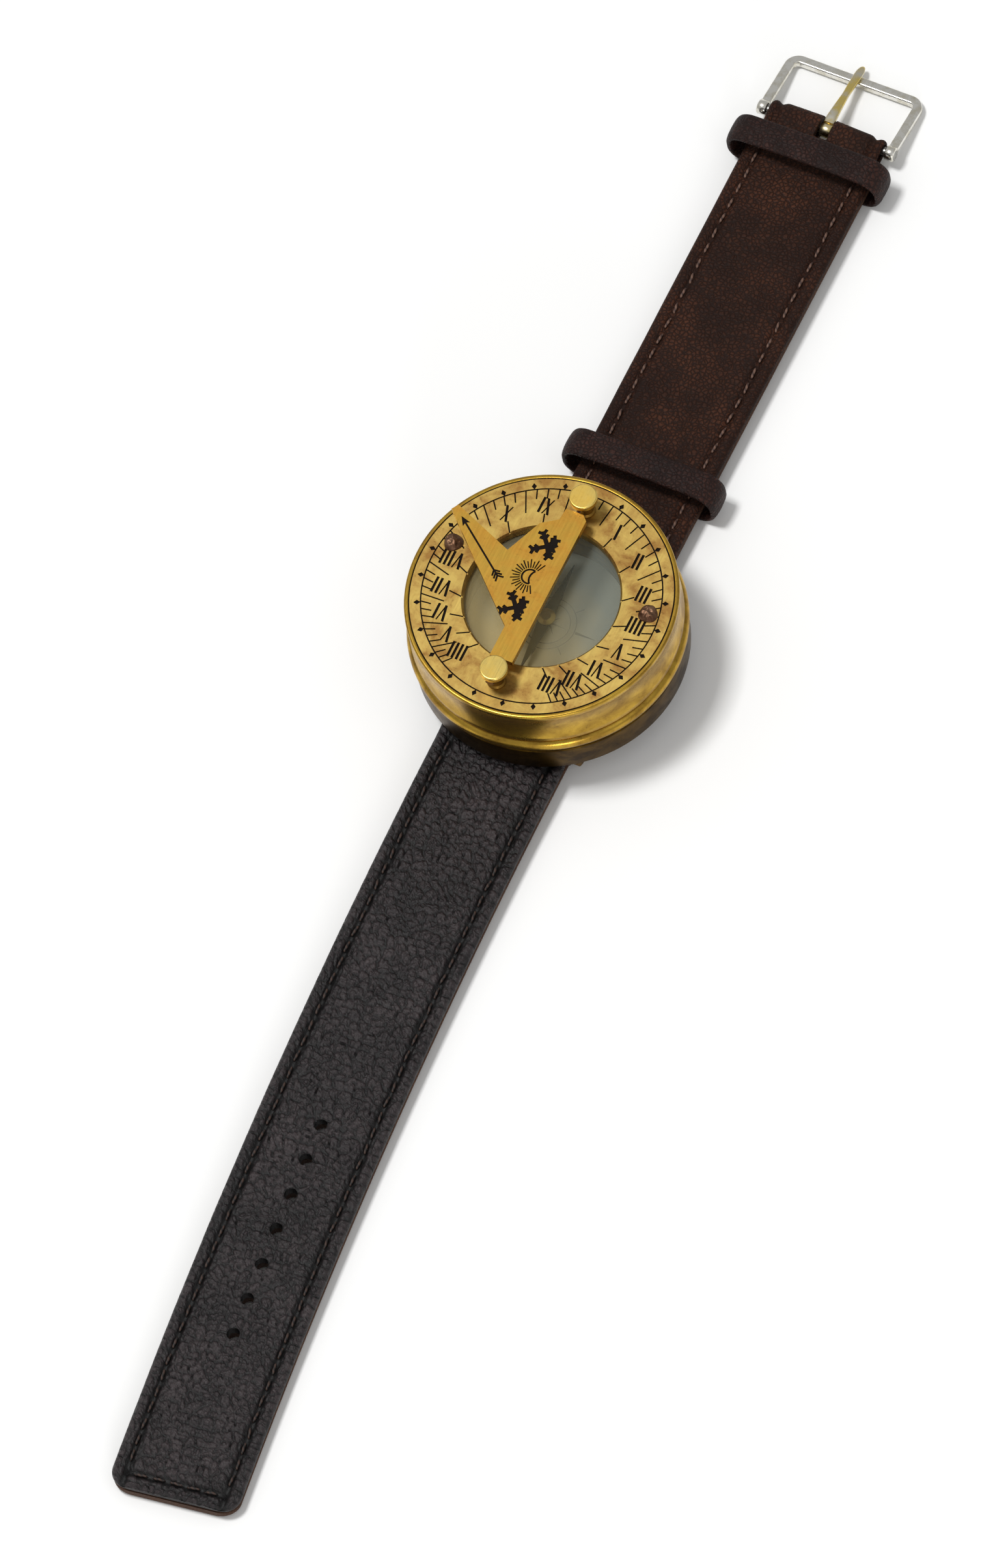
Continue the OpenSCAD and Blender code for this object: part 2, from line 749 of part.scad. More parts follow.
// The tongue's eye turns on the bar and its shank lies on the frame's outer bar
module buckle_tongue() {
    low = frame_strip_t / 2 + 0.03;
    end_y = buckle_reach + tongue_over;
    color("#cdb878") at_buckle() difference() {
        union() {
            x_rod(frame_eye_r, tongue_eye_w);
            rotate([90, 0, 90]) linear_extrude(tongue_w, center = true) polygon([
                [0, 0], [3, low - 0.3], [buckle_reach - 3, low], [end_y, low],
                [end_y, low + 0.45 * tongue_t], [buckle_reach, low + tongue_t],
                [3, low + tongue_t], [0, frame_eye_r - 0.1]
            ]);
        }
        x_rod(buckle_bar_r + fit, tongue_eye_w + 2);
    }
}

// A point of the bowed tip piece: s along its middle line, x across it
function bow_point(s, x) = let (a = s / bow_r * 180 / PI)
    [bow_r - (bow_r - x) * cos(a), -(bow_r - x) * sin(a)];

// The tip piece's outline from distance s0, set in from its edges by inset
module tip_outline(s0, inset, steps = 14) {
    x = strap_w / 2 - inset;
    r = max(tip_corner_r - inset, 0.4);
    s1 = tip_piece_len - inset;
    side = [for (i = [0 : steps]) s0 + (s1 - r - s0) * i / steps];
    arc = [for (a = [15 : 15 : 75]) a];
    polygon(concat(
        [for (s = side) bow_point(s, x)],
        [for (a = arc) bow_point(s1 - r + r * sin(a), x - r + r * cos(a))],
        [bow_point(s1, x - r), bow_point(s1, r - x)],
        [for (i = [len(arc) - 1 : -1 : 0])
            bow_point(s1 - r + r * sin(arc[i]), r - x - r * cos(arc[i]))],
        [for (i = [steps : -1 : 0]) bow_point(side[i], -x)]
    ));
}

module strap_holes() {
    for (i = [0 : hole_count - 1])
        translate(bow_point(tip_piece_len - hole_from_tip - i * hole_pitch, 0))
            cylinder(r = hole_d / 2, h = 6 * loop_r, center = true);
}

module tip_piece_leather() {
    color("#241b1a") at_tip_piece() difference() {
        union() {
            x_rod(loop_r, strap_w);
            translate([0, 0, leather_z]) linear_extrude(leather_t) tip_outline(0, 0);
        }
        x_rod(bar_r + fit, strap_w + 2);
        strap_holes();
    }
}

module tip_piece_lining() {
    color("#4a3226") at_tip_piece() difference() {
        translate([0, 0, -loop_r]) linear_extrude(lining_t) tip_outline(loop_r + 0.2, 0);
        strap_holes();
    }
}

module tip_piece_seam() {
    color("#1d130f") at_tip_piece() translate([0, 0, strap_top]) linear_extrude(thread_h)
        difference() {
            tip_outline(loop_r + 1.5, seam_inset - thread_w / 2);
            tip_outline(loop_r + 1, seam_inset + thread_w / 2);
        }
}

case_back();
back_screws();
strap_bracket();
strap_bars();
case_base();
upper_ring();
compass_bowl();
compass_card();
needle_pin();
compass_needle();
needle_cap();
glass_seat();
window_glass();
dial_plate();
dial_rivets();
gnomon_posts();
post_nuts();
pivot_pins();
gnomon();
buckle_piece_leather();
buckle_piece_lining();
buckle_piece_seam();
fixed_keeper();
sliding_keeper();
buckle_bar();
buckle_frame();
buckle_tongue();
tip_piece_leather();
tip_piece_lining();
tip_piece_seam();
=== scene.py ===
import json
import math
from functools import partial

import bpy
import numpy as np
from mathutils import Matrix, Vector


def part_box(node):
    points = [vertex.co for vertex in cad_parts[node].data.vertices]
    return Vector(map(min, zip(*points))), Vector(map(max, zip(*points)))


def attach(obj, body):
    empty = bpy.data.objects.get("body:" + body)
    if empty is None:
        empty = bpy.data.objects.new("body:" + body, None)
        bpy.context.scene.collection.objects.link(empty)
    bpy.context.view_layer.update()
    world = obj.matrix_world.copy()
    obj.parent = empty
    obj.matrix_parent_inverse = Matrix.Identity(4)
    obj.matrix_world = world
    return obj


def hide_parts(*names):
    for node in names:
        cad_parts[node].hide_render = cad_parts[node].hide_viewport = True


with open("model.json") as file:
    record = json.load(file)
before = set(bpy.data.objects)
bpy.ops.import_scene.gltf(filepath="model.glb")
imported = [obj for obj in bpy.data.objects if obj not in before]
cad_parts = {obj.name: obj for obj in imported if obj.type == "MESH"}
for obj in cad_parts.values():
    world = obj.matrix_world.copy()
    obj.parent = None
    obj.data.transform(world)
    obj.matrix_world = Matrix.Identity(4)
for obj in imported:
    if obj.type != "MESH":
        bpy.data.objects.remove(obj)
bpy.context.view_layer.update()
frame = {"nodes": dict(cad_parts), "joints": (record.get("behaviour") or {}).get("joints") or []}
nodes = frame["nodes"]
joints = {joint["name"]: joint for joint in frame["joints"]}
mm = 0.001
glassLedge = 1.2         # mm of the glass that lie under the dial's edge
print("stage: frame loaded,", len(nodes), "CAD nodes")


# Places and sizes in millimetres, all read from the frame.

def boxOf(name):
    low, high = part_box(name)
    return np.array(low) / mm, np.array(high) / mm


def jointAt(name):
    return np.array(joints[name]["pos_m"]) / mm


dialTop = boxOf("dial_plate")[1][2]
plateRadius = boxOf("dial_plate")[1][0]
windowRadius = boxOf("window_glass")[1][0] - glassLedge
caseRadius = boxOf("upper_ring")[1][0]
strapHalf = boxOf("buckle_piece_lining")[1][0]
tipBar = jointAt("tip_piece_swing")
strapBar = jointAt("buckle_piece_swing")
buckleBar = jointAt("buckle_swing")


# Meshes from numpy.

def fullTurn(count):
    return np.linspace(0, 2 * math.pi, count, endpoint=False)


# A power of the size of a number, with the number's own sign.
def signedPower(value, power):
    return np.sign(value) * np.abs(value) ** power


# Each corner of an open line becomes an arc tangent to both of its sides.
def roundCorners(points, radii, steps=5):
    points = np.asarray(points, float)
    out = [points[:1]]
    for before, corner, after, radius in zip(points[:-2], points[1:-1], points[2:], radii[1:-1]):
        if radius <= 0:
            out.append(corner[None])
            continue
        a, b = before - corner, after - corner
        lengthA, lengthB = np.linalg.norm(a), np.linalg.norm(b)
        a, b = a / lengthA, b / lengthB
        half = 0.5 * math.acos(np.clip(a @ b, -1, 1))
        back = min(radius / math.tan(half), 0.45 * lengthA, 0.45 * lengthB)
        middle = corner + (a + b) / np.linalg.norm(a + b) * back / math.cos(half)
        start, end = corner + a * back - middle, corner + b * back - middle
        turn = math.atan2(start[0] * end[1] - start[1] * end[0], start @ end)
        angle = np.linspace(0, turn, steps + 1)[:, None]
        out.append(middle + start * np.cos(angle) + np.array([-start[1], start[0]]) * np.sin(angle))
    out.append(points[-1:])
    return np.concatenate(out)


def addObject(name, data):
    added = bpy.data.objects.new(name, data)
    bpy.context.scene.collection.objects.link(added)
    return added


# One mesh object from points in millimetres. Its faces are turned if they point inwards.
def buildMesh(name, points, faces, material, body, smoothAngle=35):
    points = np.asarray(points, float)
    a, b, c = (points[[f[i] for f in faces]] for i in (0, 1, 2))
    d = points[[f[3] if len(f) > 3 else f[2] for f in faces]]
    volume = (np.einsum("ij,ij->i", a, np.cross(b, c)) + np.einsum("ij,ij->i", a, np.cross(c, d))).sum()
    if volume < 0:
        faces = [tuple(reversed(f)) for f in faces]
    mesh = bpy.data.meshes.new(name)
    mesh.from_pydata((points * mm).tolist(), [], faces)
    mesh.polygons.foreach_set("use_smooth", np.ones(len(mesh.polygons), bool))
    mesh.set_sharp_from_angle(angle=math.radians(smoothAngle))
    mesh.materials.append(material)
    piece = addObject(name, mesh)
    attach(piece, body)
    return piece


def placePiece(piece, node):
    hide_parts(node)


# Gives a second material to the faces whose middle lies under a height.
def lookBelow(piece, height, material):
    piece.data.materials.append(material)
    middles = np.empty(len(piece.data.polygons) * 3)
    piece.data.polygons.foreach_get("center", middles)
    piece.data.polygons.foreach_set("material_index",
                                    (middles.reshape(-1, 3)[:, 2] < height * mm).astype(np.int32))


# The quads between neighbouring rows and columns of a grid of points.
def gridFaces(rows, columns, closeRows=False, closeColumns=False):
    index = np.arange(rows * columns).reshape(rows, columns)
    a = index if closeRows else index[:-1]
    b = np.roll(index, -1, 0) if closeRows else index[1:]
    if closeColumns:
        quads = np.stack([a, b, np.roll(b, -1, 1), np.roll(a, -1, 1)], -1)
    else:
        quads = np.stack([a[:, :-1], b[:, :-1], b[:, 1:], a[:, 1:]], -1)
    return [tuple(quad) for quad in quads.reshape(-1, 4).tolist()]


# A tube of closed rings with a flat face at each end.
def sweptFaces(rows, columns):
    ends = [tuple(range(columns)), tuple(range((rows - 1) * columns, rows * columns))[::-1]]
    return gridFaces(rows, columns, closeColumns=True) + ends


# Points with these radii, heights and angles round Z.
def turned(radius, height, angle):
    x, y = radius * np.cos(angle), radius * np.sin(angle)
    return np.stack([x, y, np.broadcast_to(height, x.shape)], -1).reshape(-1, 3)


# A closed outline of radius and height, carried once round Z.
def lathe(profile, turns=192):
    profile = np.asarray(profile, float)[None]
    points = turned(profile[..., 0], profile[..., 1], fullTurn(turns)[:, None])
    return points, gridFaces(turns, profile.shape[1], closeRows=True, closeColumns=True)


# Closed rings, and a fan at each end to one of the two points that follow them.
def poleFaces(rows, columns):
    count = rows * columns
    last = count - columns
    first = [(count, (i + 1) % columns, i) for i in range(columns)]
    second = [(count + 1, last + i, last + (i + 1) % columns) for i in range(columns)]
    return gridFaces(rows, columns, closeColumns=True) + first + second


# An open outline from the axis back to the axis, carried round Z, with one point at each pole.
def latheSolid(profile, turns=64):
    profile = np.asarray(profile, float)
    inner = profile[1:-1]
    rings = turned(inner[:, 0:1], inner[:, 1:2], fullTurn(turns)[None, :])
    points = np.concatenate([rings, [[0, 0, profile[0, 1]], [0, 0, profile[-1, 1]]]])
    return points, poleFaces(len(inner), turns)


# Several sets of points and faces as one.
def joinParts(parts):
    points, faces, first = [], [], 0
    for partPoints, partFaces in parts:
        points.append(partPoints)
        faces += [tuple(i + first for i in face) for face in partFaces]
        first += len(partPoints)
    return np.concatenate(points), faces


# An outline in x and y as a thin closed slab.
def flatSlab(outline, low, high):
    outline = np.asarray(outline, float)
    rings = [np.column_stack([outline, np.full(len(outline), z)]) for z in (low, high)]
    return np.concatenate(rings), sweptFaces(2, len(outline))


# Random heights from -1 to 1 on a lattice, joined by smooth steps between lattice points.
def smoothNoise(u, v, size, seed):
    table = np.random.default_rng(seed).uniform(-1, 1, (64, 64))
    gridU, gridV = u / size, v / size
    i, j = np.floor(gridU).astype(int), np.floor(gridV).astype(int)
    s, t = gridU - i, gridV - j
    s, t = s * s * (3 - 2 * s), t * t * (3 - 2 * t)
    near = table[i % 64, j % 64] * (1 - s) + table[(i + 1) % 64, j % 64] * s
    far = table[i % 64, (j + 1) % 64] * (1 - s) + table[(i + 1) % 64, (j + 1) % 64] * s
    return near * (1 - t) + far * t


# Height of leather grain: 1 on each pebble, falling to 0 in the crease between two pebbles. It is
# the gap between the distances to the two nearest of a field of scattered points.
def pebbles(u, v, size, seed, crease=0.45):
    jitter = np.random.default_rng(seed).uniform(0.1, 0.9, (128, 128, 2))
    gridU = u / size + 0.4 * smoothNoise(u, v, 1.7 * size, seed + 1)
    gridV = v / size + 0.4 * smoothNoise(u, v, 1.7 * size, seed + 2)
    i, j = np.floor(gridU).astype(int), np.floor(gridV).astype(int)
    near = np.full(np.shape(gridU), 9.0)
    second = near.copy()
    for di in (-1, 0, 1):
        for dj in (-1, 0, 1):
            spot = jitter[(i + di) % 128, (j + dj) % 128]
            gap = np.hypot(i + di + spot[..., 0] - gridU, j + dj + spot[..., 1] - gridV)
            second = np.minimum(second, np.maximum(near, gap))
            near = np.minimum(near, gap)
    edge = np.clip((second - near) / crease, 0, 1)
    return edge * (2 - edge)


def smoothStep(t):
    t = np.clip(t, 0, 1)
    return t * t * (3 - 2 * t)


# Materials.

# An sRGB hex colour as linear red, green, blue and alpha.
def linearColour(hexText):
    parts = [int(hexText[i:i + 2], 16) / 255 for i in (1, 3, 5)]
    return [p / 12.92 if p <= 0.04045 else ((p + 0.055) / 1.055) ** 2.4 for p in parts] + [1.0]


# Adds one shader node with its settings. Each input, by name or by its place among those in use, gets a
# value or is fed by a socket. The node's first output in use is returned.
def addNode(tree, kind, inputs, **settings):
    node = tree.nodes.new("ShaderNode" + kind)
    for name, value in settings.items():
        setattr(node, name, value)
    inUse = [socket for socket in node.inputs if socket.enabled]
    for key, value in inputs.items():
        socket = inUse[key] if isinstance(key, int) else node.inputs[key]
        if isinstance(value, bpy.types.NodeSocket):
            tree.links.new(value, socket)
        else:
            socket.default_value = value
    return next((socket for socket in node.outputs if socket.enabled), None)


# A material with a Principled shader that has these input values, what adds a node to it, and the
# shader's inputs.
def newMaterial(name, values):
    material = bpy.data.materials.new(name)
    material.use_nodes = True
    material.node_tree.nodes.clear()
    add = partial(addNode, material.node_tree)
    surface = add("BsdfPrincipled", values)
    add("OutputMaterial", {"Surface": surface})
    return material, add, surface.node.inputs


def feedShader(shader, sockets):
    for name, socket in sockets.items():
        socket.id_data.links.new(socket, shader[name])


def objectPlace(add):
    return add("TexCoord", {}).node.outputs["Object"]


# Brass, cast or rolled, polished once and then left to tarnish. The eye sees a warm metal with soft
# brown clouds, darker specks, fine rings where it was turned, or straight rubbing marks. The lathe
# rings are drawn coarser than the real 0.05 mm so that they show.
brassShape = {"cloud": 4.5, "speck": 0.55, "ringPitch": 0.2, "rub": 0.25, "bump": 0.02}    # mm


def agedBrass(name, bright, dull, tarnish, rough, spots=0.5, stretch=1.0, rings=0.0, fill=None):
    shape = brassShape
    material, add, shader = newMaterial(name, {"Metallic": 1.0, "Roughness": rough})
    place = objectPlace(add)
    drawn = add("Mapping", {"Vector": place, "Scale": (1, 1, stretch)})
    clouds = add("TexNoise", {"Vector": drawn, "Scale": 1 / (shape["cloud"] * mm), "Detail": 5,
                              "Roughness": 0.62, "Distortion": 0.5})
    specks = add("TexNoise", {"Vector": drawn, "Scale": 1 / (shape["speck"] * mm), "Detail": 3,
                              "Roughness": 0.7})
    rubbed = add("Mapping", {"Vector": place, "Rotation": (0, 0, 0.6), "Scale": (1, 0.06, 1)})
    marks = add("TexNoise", {"Vector": rubbed, "Scale": 1 / (shape["rub"] * mm), "Detail": 2})
    cloudShare = add("MapRange", {0: clouds, 1: 0.36, 2: 0.64})
    speckShare = add("MapRange", {0: specks, 1: 0.55, 2: 0.72})
    base = add("Mix", {0: cloudShare, 1: linearColour(bright), 2: linearColour(dull)}, data_type="RGBA")
    spotShare = add("Math", {0: speckShare, 1: spots}, operation="MULTIPLY")
    spotShare = add("Math", {0: spotShare, 1: cloudShare}, operation="MULTIPLY")
    base = add("Mix", {0: spotShare, 1: base, 2: linearColour(tarnish)}, data_type="RGBA")
    roughness = add("Math", {0: cloudShare, 1: 0.1, 2: rough - 0.07}, operation="MULTIPLY_ADD")
    roughness = add("Math", {0: marks, 1: 0.12, 2: roughness}, operation="MULTIPLY_ADD")
    heights = add("Math", {0: specks, 1: 0.4, 2: marks}, operation="MULTIPLY_ADD")
    if rings:
        across = add("VectorMath", {0: place, 1: (1, 1, 0)}, operation="MULTIPLY")
        radius = add("VectorMath", {0: across}, operation="LENGTH")
        height = add("SeparateXYZ", {0: place}).node.outputs["Z"]
        along = add("CombineXYZ", {0: radius, 1: height})
        lines = add("TexNoise", {"Vector": along, "Scale": 1 / (shape["ringPitch"] * mm), "Detail": 2})
        heights = add("Math", {0: lines, 1: rings, 2: heights}, operation="MULTIPLY_ADD")
    bump = add("Bump", {"Strength": 0.3, "Distance": shape["bump"] * mm, "Height": heights})
    if fill:
        share = fill(add, place)
        shader["Specular IOR Level"].default_value = 0.1    # matters only where the wax is
        base = add("Mix", {0: share, 1: base, 2: linearColour("#140b07")}, data_type="RGBA")
        roughness = add("Math", {0: share, 1: 0.3, 2: roughness}, operation="MULTIPLY_ADD")
        metallic = add("Math", {0: 1.0, 1: share}, operation="SUBTRACT")
        feedShader(shader, {"Metallic": metallic})
    feedShader(shader, {"Base Color": base, "Roughness": roughness, "Normal": bump})
    return material


waxShape = {"deep": 0.04, "windowRim": 0.35, "joint": 0.12}    # mm


# Wax in the dial's engraving: what lies under its face between two radii, and the joint at its edge.
def dialWax(add, place):
    height = add("SeparateXYZ", {0: place}).node.outputs["Z"]
    across = add("VectorMath", {0: place, 1: (1, 1, 0)}, operation="MULTIPLY")
    radius = add("VectorMath", {0: across}, operation="LENGTH").node.outputs["Value"]
    sunk = add("Math", {0: height, 1: (dialTop - waxShape["deep"]) * mm}, operation="LESS_THAN")
    outside = add("Math", {0: radius, 1: (windowRadius + waxShape["windowRim"]) * mm},
                  operation="GREATER_THAN")
    joint = add("Math", {0: radius, 1: (plateRadius - waxShape["joint"]) * mm}, operation="GREATER_THAN")
    share = add("Math", {0: sunk, 1: outside}, operation="MULTIPLY")
    return add("Math", {0: share, 1: joint}, operation="MAXIMUM")


# Wax in the gnomon's engraving: what lies under its top face and faces up.
def gnomonWax(add, place):
    top = boxOf("gnomon")[1][2]
    height = add("SeparateXYZ", {0: place}).node.outputs["Z"]
    facing = add("NewGeometry", {}).node.outputs["True Normal"]
    facing = add("VectorTransform", {0: facing}, vector_type="NORMAL", convert_from="WORLD",
                 convert_to="OBJECT")
    upward = add("SeparateXYZ", {0: facing}).node.outputs["Z"]
    sunk = add("Math", {0: height, 1: (top - waxShape["deep"]) * mm}, operation="LESS_THAN")
    up = add("Math", {0: upward, 1: 0.5}, operation="GREATER_THAN")
    return add("Math", {0: sunk, 1: up}, operation="MULTIPLY")


# Drawn, ground or plated metal: an even colour with faint handling marks that change its gloss.
def plainMetal(name, colour, worn, rough, size=1.5):
    material, add, shader = newMaterial(name, {"Metallic": 1.0, "Roughness": rough})
    marks = add("TexNoise", {"Vector": objectPlace(add), "Scale": 1 / (size * mm), "Detail": 6,
                             "Roughness": 0.65})
    share = add("MapRange", {0: marks, 1: 0.45, 2: 0.65})
    base = add("Mix", {0: share, 1: linearColour(colour), 2: linearColour(worn)}, data_type="RGBA")
    roughness = add("Math", {0: share, 1: 0.12, 2: rough}, operation="MULTIPLY_ADD")
    bump = add("Bump", {"Strength": 0.2, "Distance": 0.01 * mm, "Height": marks})
    feedShader(shader, {"Base Color": base, "Roughness": roughness, "Normal": bump})
    return material


# Chrome-tanned cow leather, dyed through and finished. The eye sees uneven pebbles, thin creases between
# them, a few long winding folds, and patches that are rubbed lighter. The dark crease colour in the creases,
# folds and pores is painted shade.
leatherShape = {"fold": 5.0, "pore": 0.22, "patch": 9.0}    # mm


def leather(name, face, crease, worn, grain, rough, relief, gloss, depth=0.75, onPoints=False):
    shape = leatherShape
    material, add, shader = newMaterial(name, {"Roughness": rough, "Specular IOR Level": gloss})
    place = objectPlace(add)
    bend = add("TexNoise", {"Vector": place, "Scale": 1 / (1.6 * grain * mm),
                            "Detail": 3}).node.outputs["Color"]
    shifted = add("VectorMath", {0: bend, 1: (1.1 * grain * mm,) * 3, 2: place}, operation="MULTIPLY_ADD")
    cells = add("TexVoronoi", {"Vector": shifted, "Scale": 1 / (grain * mm)}, feature="DISTANCE_TO_EDGE")
    pores = add("TexNoise", {"Vector": place, "Scale": 1 / (shape["pore"] * mm), "Detail": 3,
                             "Roughness": 0.7})
    folds = add("TexNoise", {"Vector": place, "Scale": 1 / (shape["fold"] * mm), "Detail": 4,
                             "Distortion": 0.4})
    patches = add("TexNoise", {"Vector": place, "Scale": 1 / (shape["patch"] * mm), "Detail": 6,
                               "Roughness": 0.65})
    # a fold runs where the broad noise crosses its middle value
    folds = add("Math", {0: folds, 1: 0.5}, operation="SUBTRACT")
    folds = add("Math", {0: folds}, operation="ABSOLUTE")
    folds = add("MapRange", {0: folds, 1: 0.0, 2: 0.018, 3: 0.35})
    pebble = add("MapRange", {0: cells, 1: 0.0, 2: 0.3})
    if onPoints:
        height = add("Attribute", {}, attribute_name="grain").node.outputs["Fac"]
        height = add("MapRange", {0: height, 1: 0.35, 2: 0.95})
        pebble = add("Math", {0: pebble, 1: 0.25, 2: 0.75}, operation="MULTIPLY_ADD")
        pebble = add("Math", {0: pebble, 1: height}, operation="MULTIPLY")
    pebble = add("Math", {0: pebble, 1: folds}, operation="MULTIPLY")
    # where the grain sinks, in creases and along folds, the colour goes to the crease colour: painted shade
    shade = add("Math", {0: pebble, 1: depth, 2: 1 - depth}, operation="MULTIPLY_ADD")
    base = add("Mix", {0: shade, 1: linearColour(crease), 2: linearColour(face)}, data_type="RGBA")
    share = add("MapRange", {0: patches, 1: 0.42, 2: 0.68})
    share = add("Math", {0: share, 1: pebble}, operation="MULTIPLY")
    base = add("Mix", {0: share, 1: base, 2: linearColour(worn)}, data_type="RGBA")
    # pores are darkened with the crease colour too: painted shade
    dots = add("MapRange", {0: pores, 1: 0.5, 2: 0.7})
    dots = add("Math", {0: dots, 1: 0.6}, operation="MULTIPLY")
    base = add("Mix", {0: dots, 1: base, 2: linearColour(crease)}, data_type="RGBA")
    roughness = add("Math", {0: pores, 1: 0.2, 2: rough - 0.1}, operation="MULTIPLY_ADD")
    heights = add("Math", {0: pores, 1: 0.5, 2: pebble}, operation="MULTIPLY_ADD")
    bump = add("Bump", {"Strength": 0.9, "Distance": relief * mm, "Height": heights})
    feedShader(shader, {"Base Color": base, "Roughness": roughness, "Normal": bump})
    return material


# Two-ply waxed polyester thread: fine slanting ply lines and a soft gloss. The lighter colour of the ply
# lines is partly the thread's own tone and partly a painted highlight on the ply crests.
def waxedThread(name, colour, light):
    material, add, shader = newMaterial(name, {"Roughness": 0.6, "Specular IOR Level": 0.4})
    ply = add("TexWave", {"Vector": objectPlace(add), "Scale": 1 / (1.6 * mm), "Distortion": 1.5},
              bands_direction="DIAGONAL")
    # the light colour on the ply bands is partly a painted highlight
    base = add("Mix", {0: ply, 1: linearColour(colour), 2: linearColour(light)}, data_type="RGBA")
    bump = add("Bump", {"Strength": 0.4, "Distance": 0.04 * mm, "Height": ply})
    feedShader(shader, {"Base Color": base, "Normal": bump})
    return material


# A colour that goes from near at one side of the window to far at the other, blotched on its way.
def blendAcrossWindow(add, near, far):
    place = objectPlace(add)
    blotch = add("TexNoise", {"Vector": place, "Scale": 1 / (5 * mm), "Detail": 5})
    side = add("VectorMath", {0: place, 1: (0.6, 0.8, 0)}, operation="DOT_PRODUCT")
    side = add("Math", {0: blotch, 1: 12 * mm, 2: side}, operation="MULTIPLY_ADD")
    share = add("MapRange", {0: side, 1: -4 * mm, 2: 14 * mm})
    return add("Mix", {0: share, 1: linearColour(near), 2: linearColour(far)}, data_type="RGBA")


# Coated card: matt, yellow at one side of the window and grey-green at the other, with a blotched border.
def printedCard(name):
    material, add, shader = newMaterial(name, {"Roughness": 0.7})
    feedShader(shader, {"Base Color": blendAcrossWindow(add, "#e2cc90", "#a9ad9c")})
    return material


# Flat window glass under an old film of dust. The film is what the eye sees and what the gnomon's
# shadow falls on. The glass is see-through by its alpha, so that light reaches the card.
def dustyGlass(name):
    material, add, shader = newMaterial(name, {"Roughness": 0.1, "Specular IOR Level": 0.8, "IOR": 1.5,
                                                "Alpha": 0.3})
    haze = add("TexNoise", {"Vector": objectPlace(add), "Scale": 1 / (7 * mm), "Detail": 5})
    haze = add("Math", {0: haze, 1: 0.25}, operation="MULTIPLY")
    feedShader(shader, {"Base Color": blendAcrossWindow(add, "#c2b07a", "#8b9186"), "Roughness": haze})
    return material


looks = {
    "case": agedBrass("turnedCastBrass", "#bf9a3d", "#94722d", "#453011", 0.27, 0.6, 1.5, 0.6),
    # the band look is the case brass painted much darker: painted shade and painted reflection of the dark
    # strap
    "band": agedBrass("castBrassPaintedShade", "#5a4214", "#33230c", "#170f07", 0.34, 0.7, 1.5, 0.5),
    # dull sheet brass for the bracket; on the posts' foot and neck it is painted shade
    "sheet": agedBrass("dullSheetBrassAndNeckShade", "#8d6b2f", "#5e431c", "#2e1d0d", 0.45, 0.8),
    "bowl": agedBrass("spunBrass", "#9c7a33", "#5f471f", "#2e1d0d", 0.38, 0.6, 3, 0.5),
    "dial": agedBrass("waxFilledDialBrass", "#ccae60", "#916c39", "#5c3c1c", 0.36, 0.6, fill=dialWax),
    "gnomon": agedBrass("waxFilledGnomonBrass", "#d3a949", "#b58436", "#7a5426", 0.28, 0.4,
                        fill=gnomonWax),
    "bright": agedBrass("polishedBrass", "#e9ce78", "#d2b057", "#9a7432", 0.26, 0.3),
    "copper": agedBrass("hammeredCopper", "#8f7058", "#5c4030", "#24140c", 0.42, 0.9),
    "steel": plainMetal("drawnSteel", "#a9a8a4", "#8f8d88", 0.3),
    "blued": plainMetal("bluedSteel", "#20262d", "#2c3540", 0.28),
    "nickel": plainMetal("nickelPlate", "#e8e6df", "#cdc8b8", 0.2),
    "gilt": plainMetal("wornGiltPlate", "#e0c877", "#cfcabb", 0.22, 3.0),
    "card": printedCard("yellowToGreyCard"),
    "ink": newMaterial("printingInk", {"Base Color": linearColour("#0c120e"), "Roughness": 0.6})[0],
    "glass": dustyGlass("windowGlass"),
    "black": leather("pebbledLeather", "#231b1d", "#020101", "#3b3233", 0.7, 0.45, 0.2, 0.35, 1.0, True),
    "brown": leather("smoothLeather", "#2e180e", "#110805", "#4c2b1b", 0.7, 0.6, 0.1, 0.13, 0.7),
    "keeper": leather("keeperLeather", "#261511", "#0c0605", "#43271f", 0.7, 0.55, 0.1, 0.16, 0.6),
    "lining": leather("liningLeather", "#4a3020", "#2f1d12", "#5c402c", 0.5, 0.7, 0.04, 0.3, 0.5),
    "thread": waxedThread("brownThread", "#33201a", "#6e5244"),
    "darkThread": waxedThread("blackThread", "#0d0807", "#3c2a22"),
}
print("stage: materials made")


# The case, with rounded edges and smooth walls.

caseShape = {
    "edge": 0.35, "plateEdge": 0.12, "bandEdge": 0.5,       # radii of edges
    "gap": 0.05, "ledge": 1.2, "bowlOut": 15.6, "spigotIn": 1.95,
    "rim": 0.9, "sweepDeep": 0.45, "sweepSteps": 24,        # the hollow wall between two rims
    "beadHigh": 2.5, "beadOut": 0.6, "grooveHigh": 0.4, "grooveDeep": 0.6, "bandOut": 0.1,
    "shoulder": 2.0, "wall": 3.2, "floor": 2.0, "turns": 256,
}


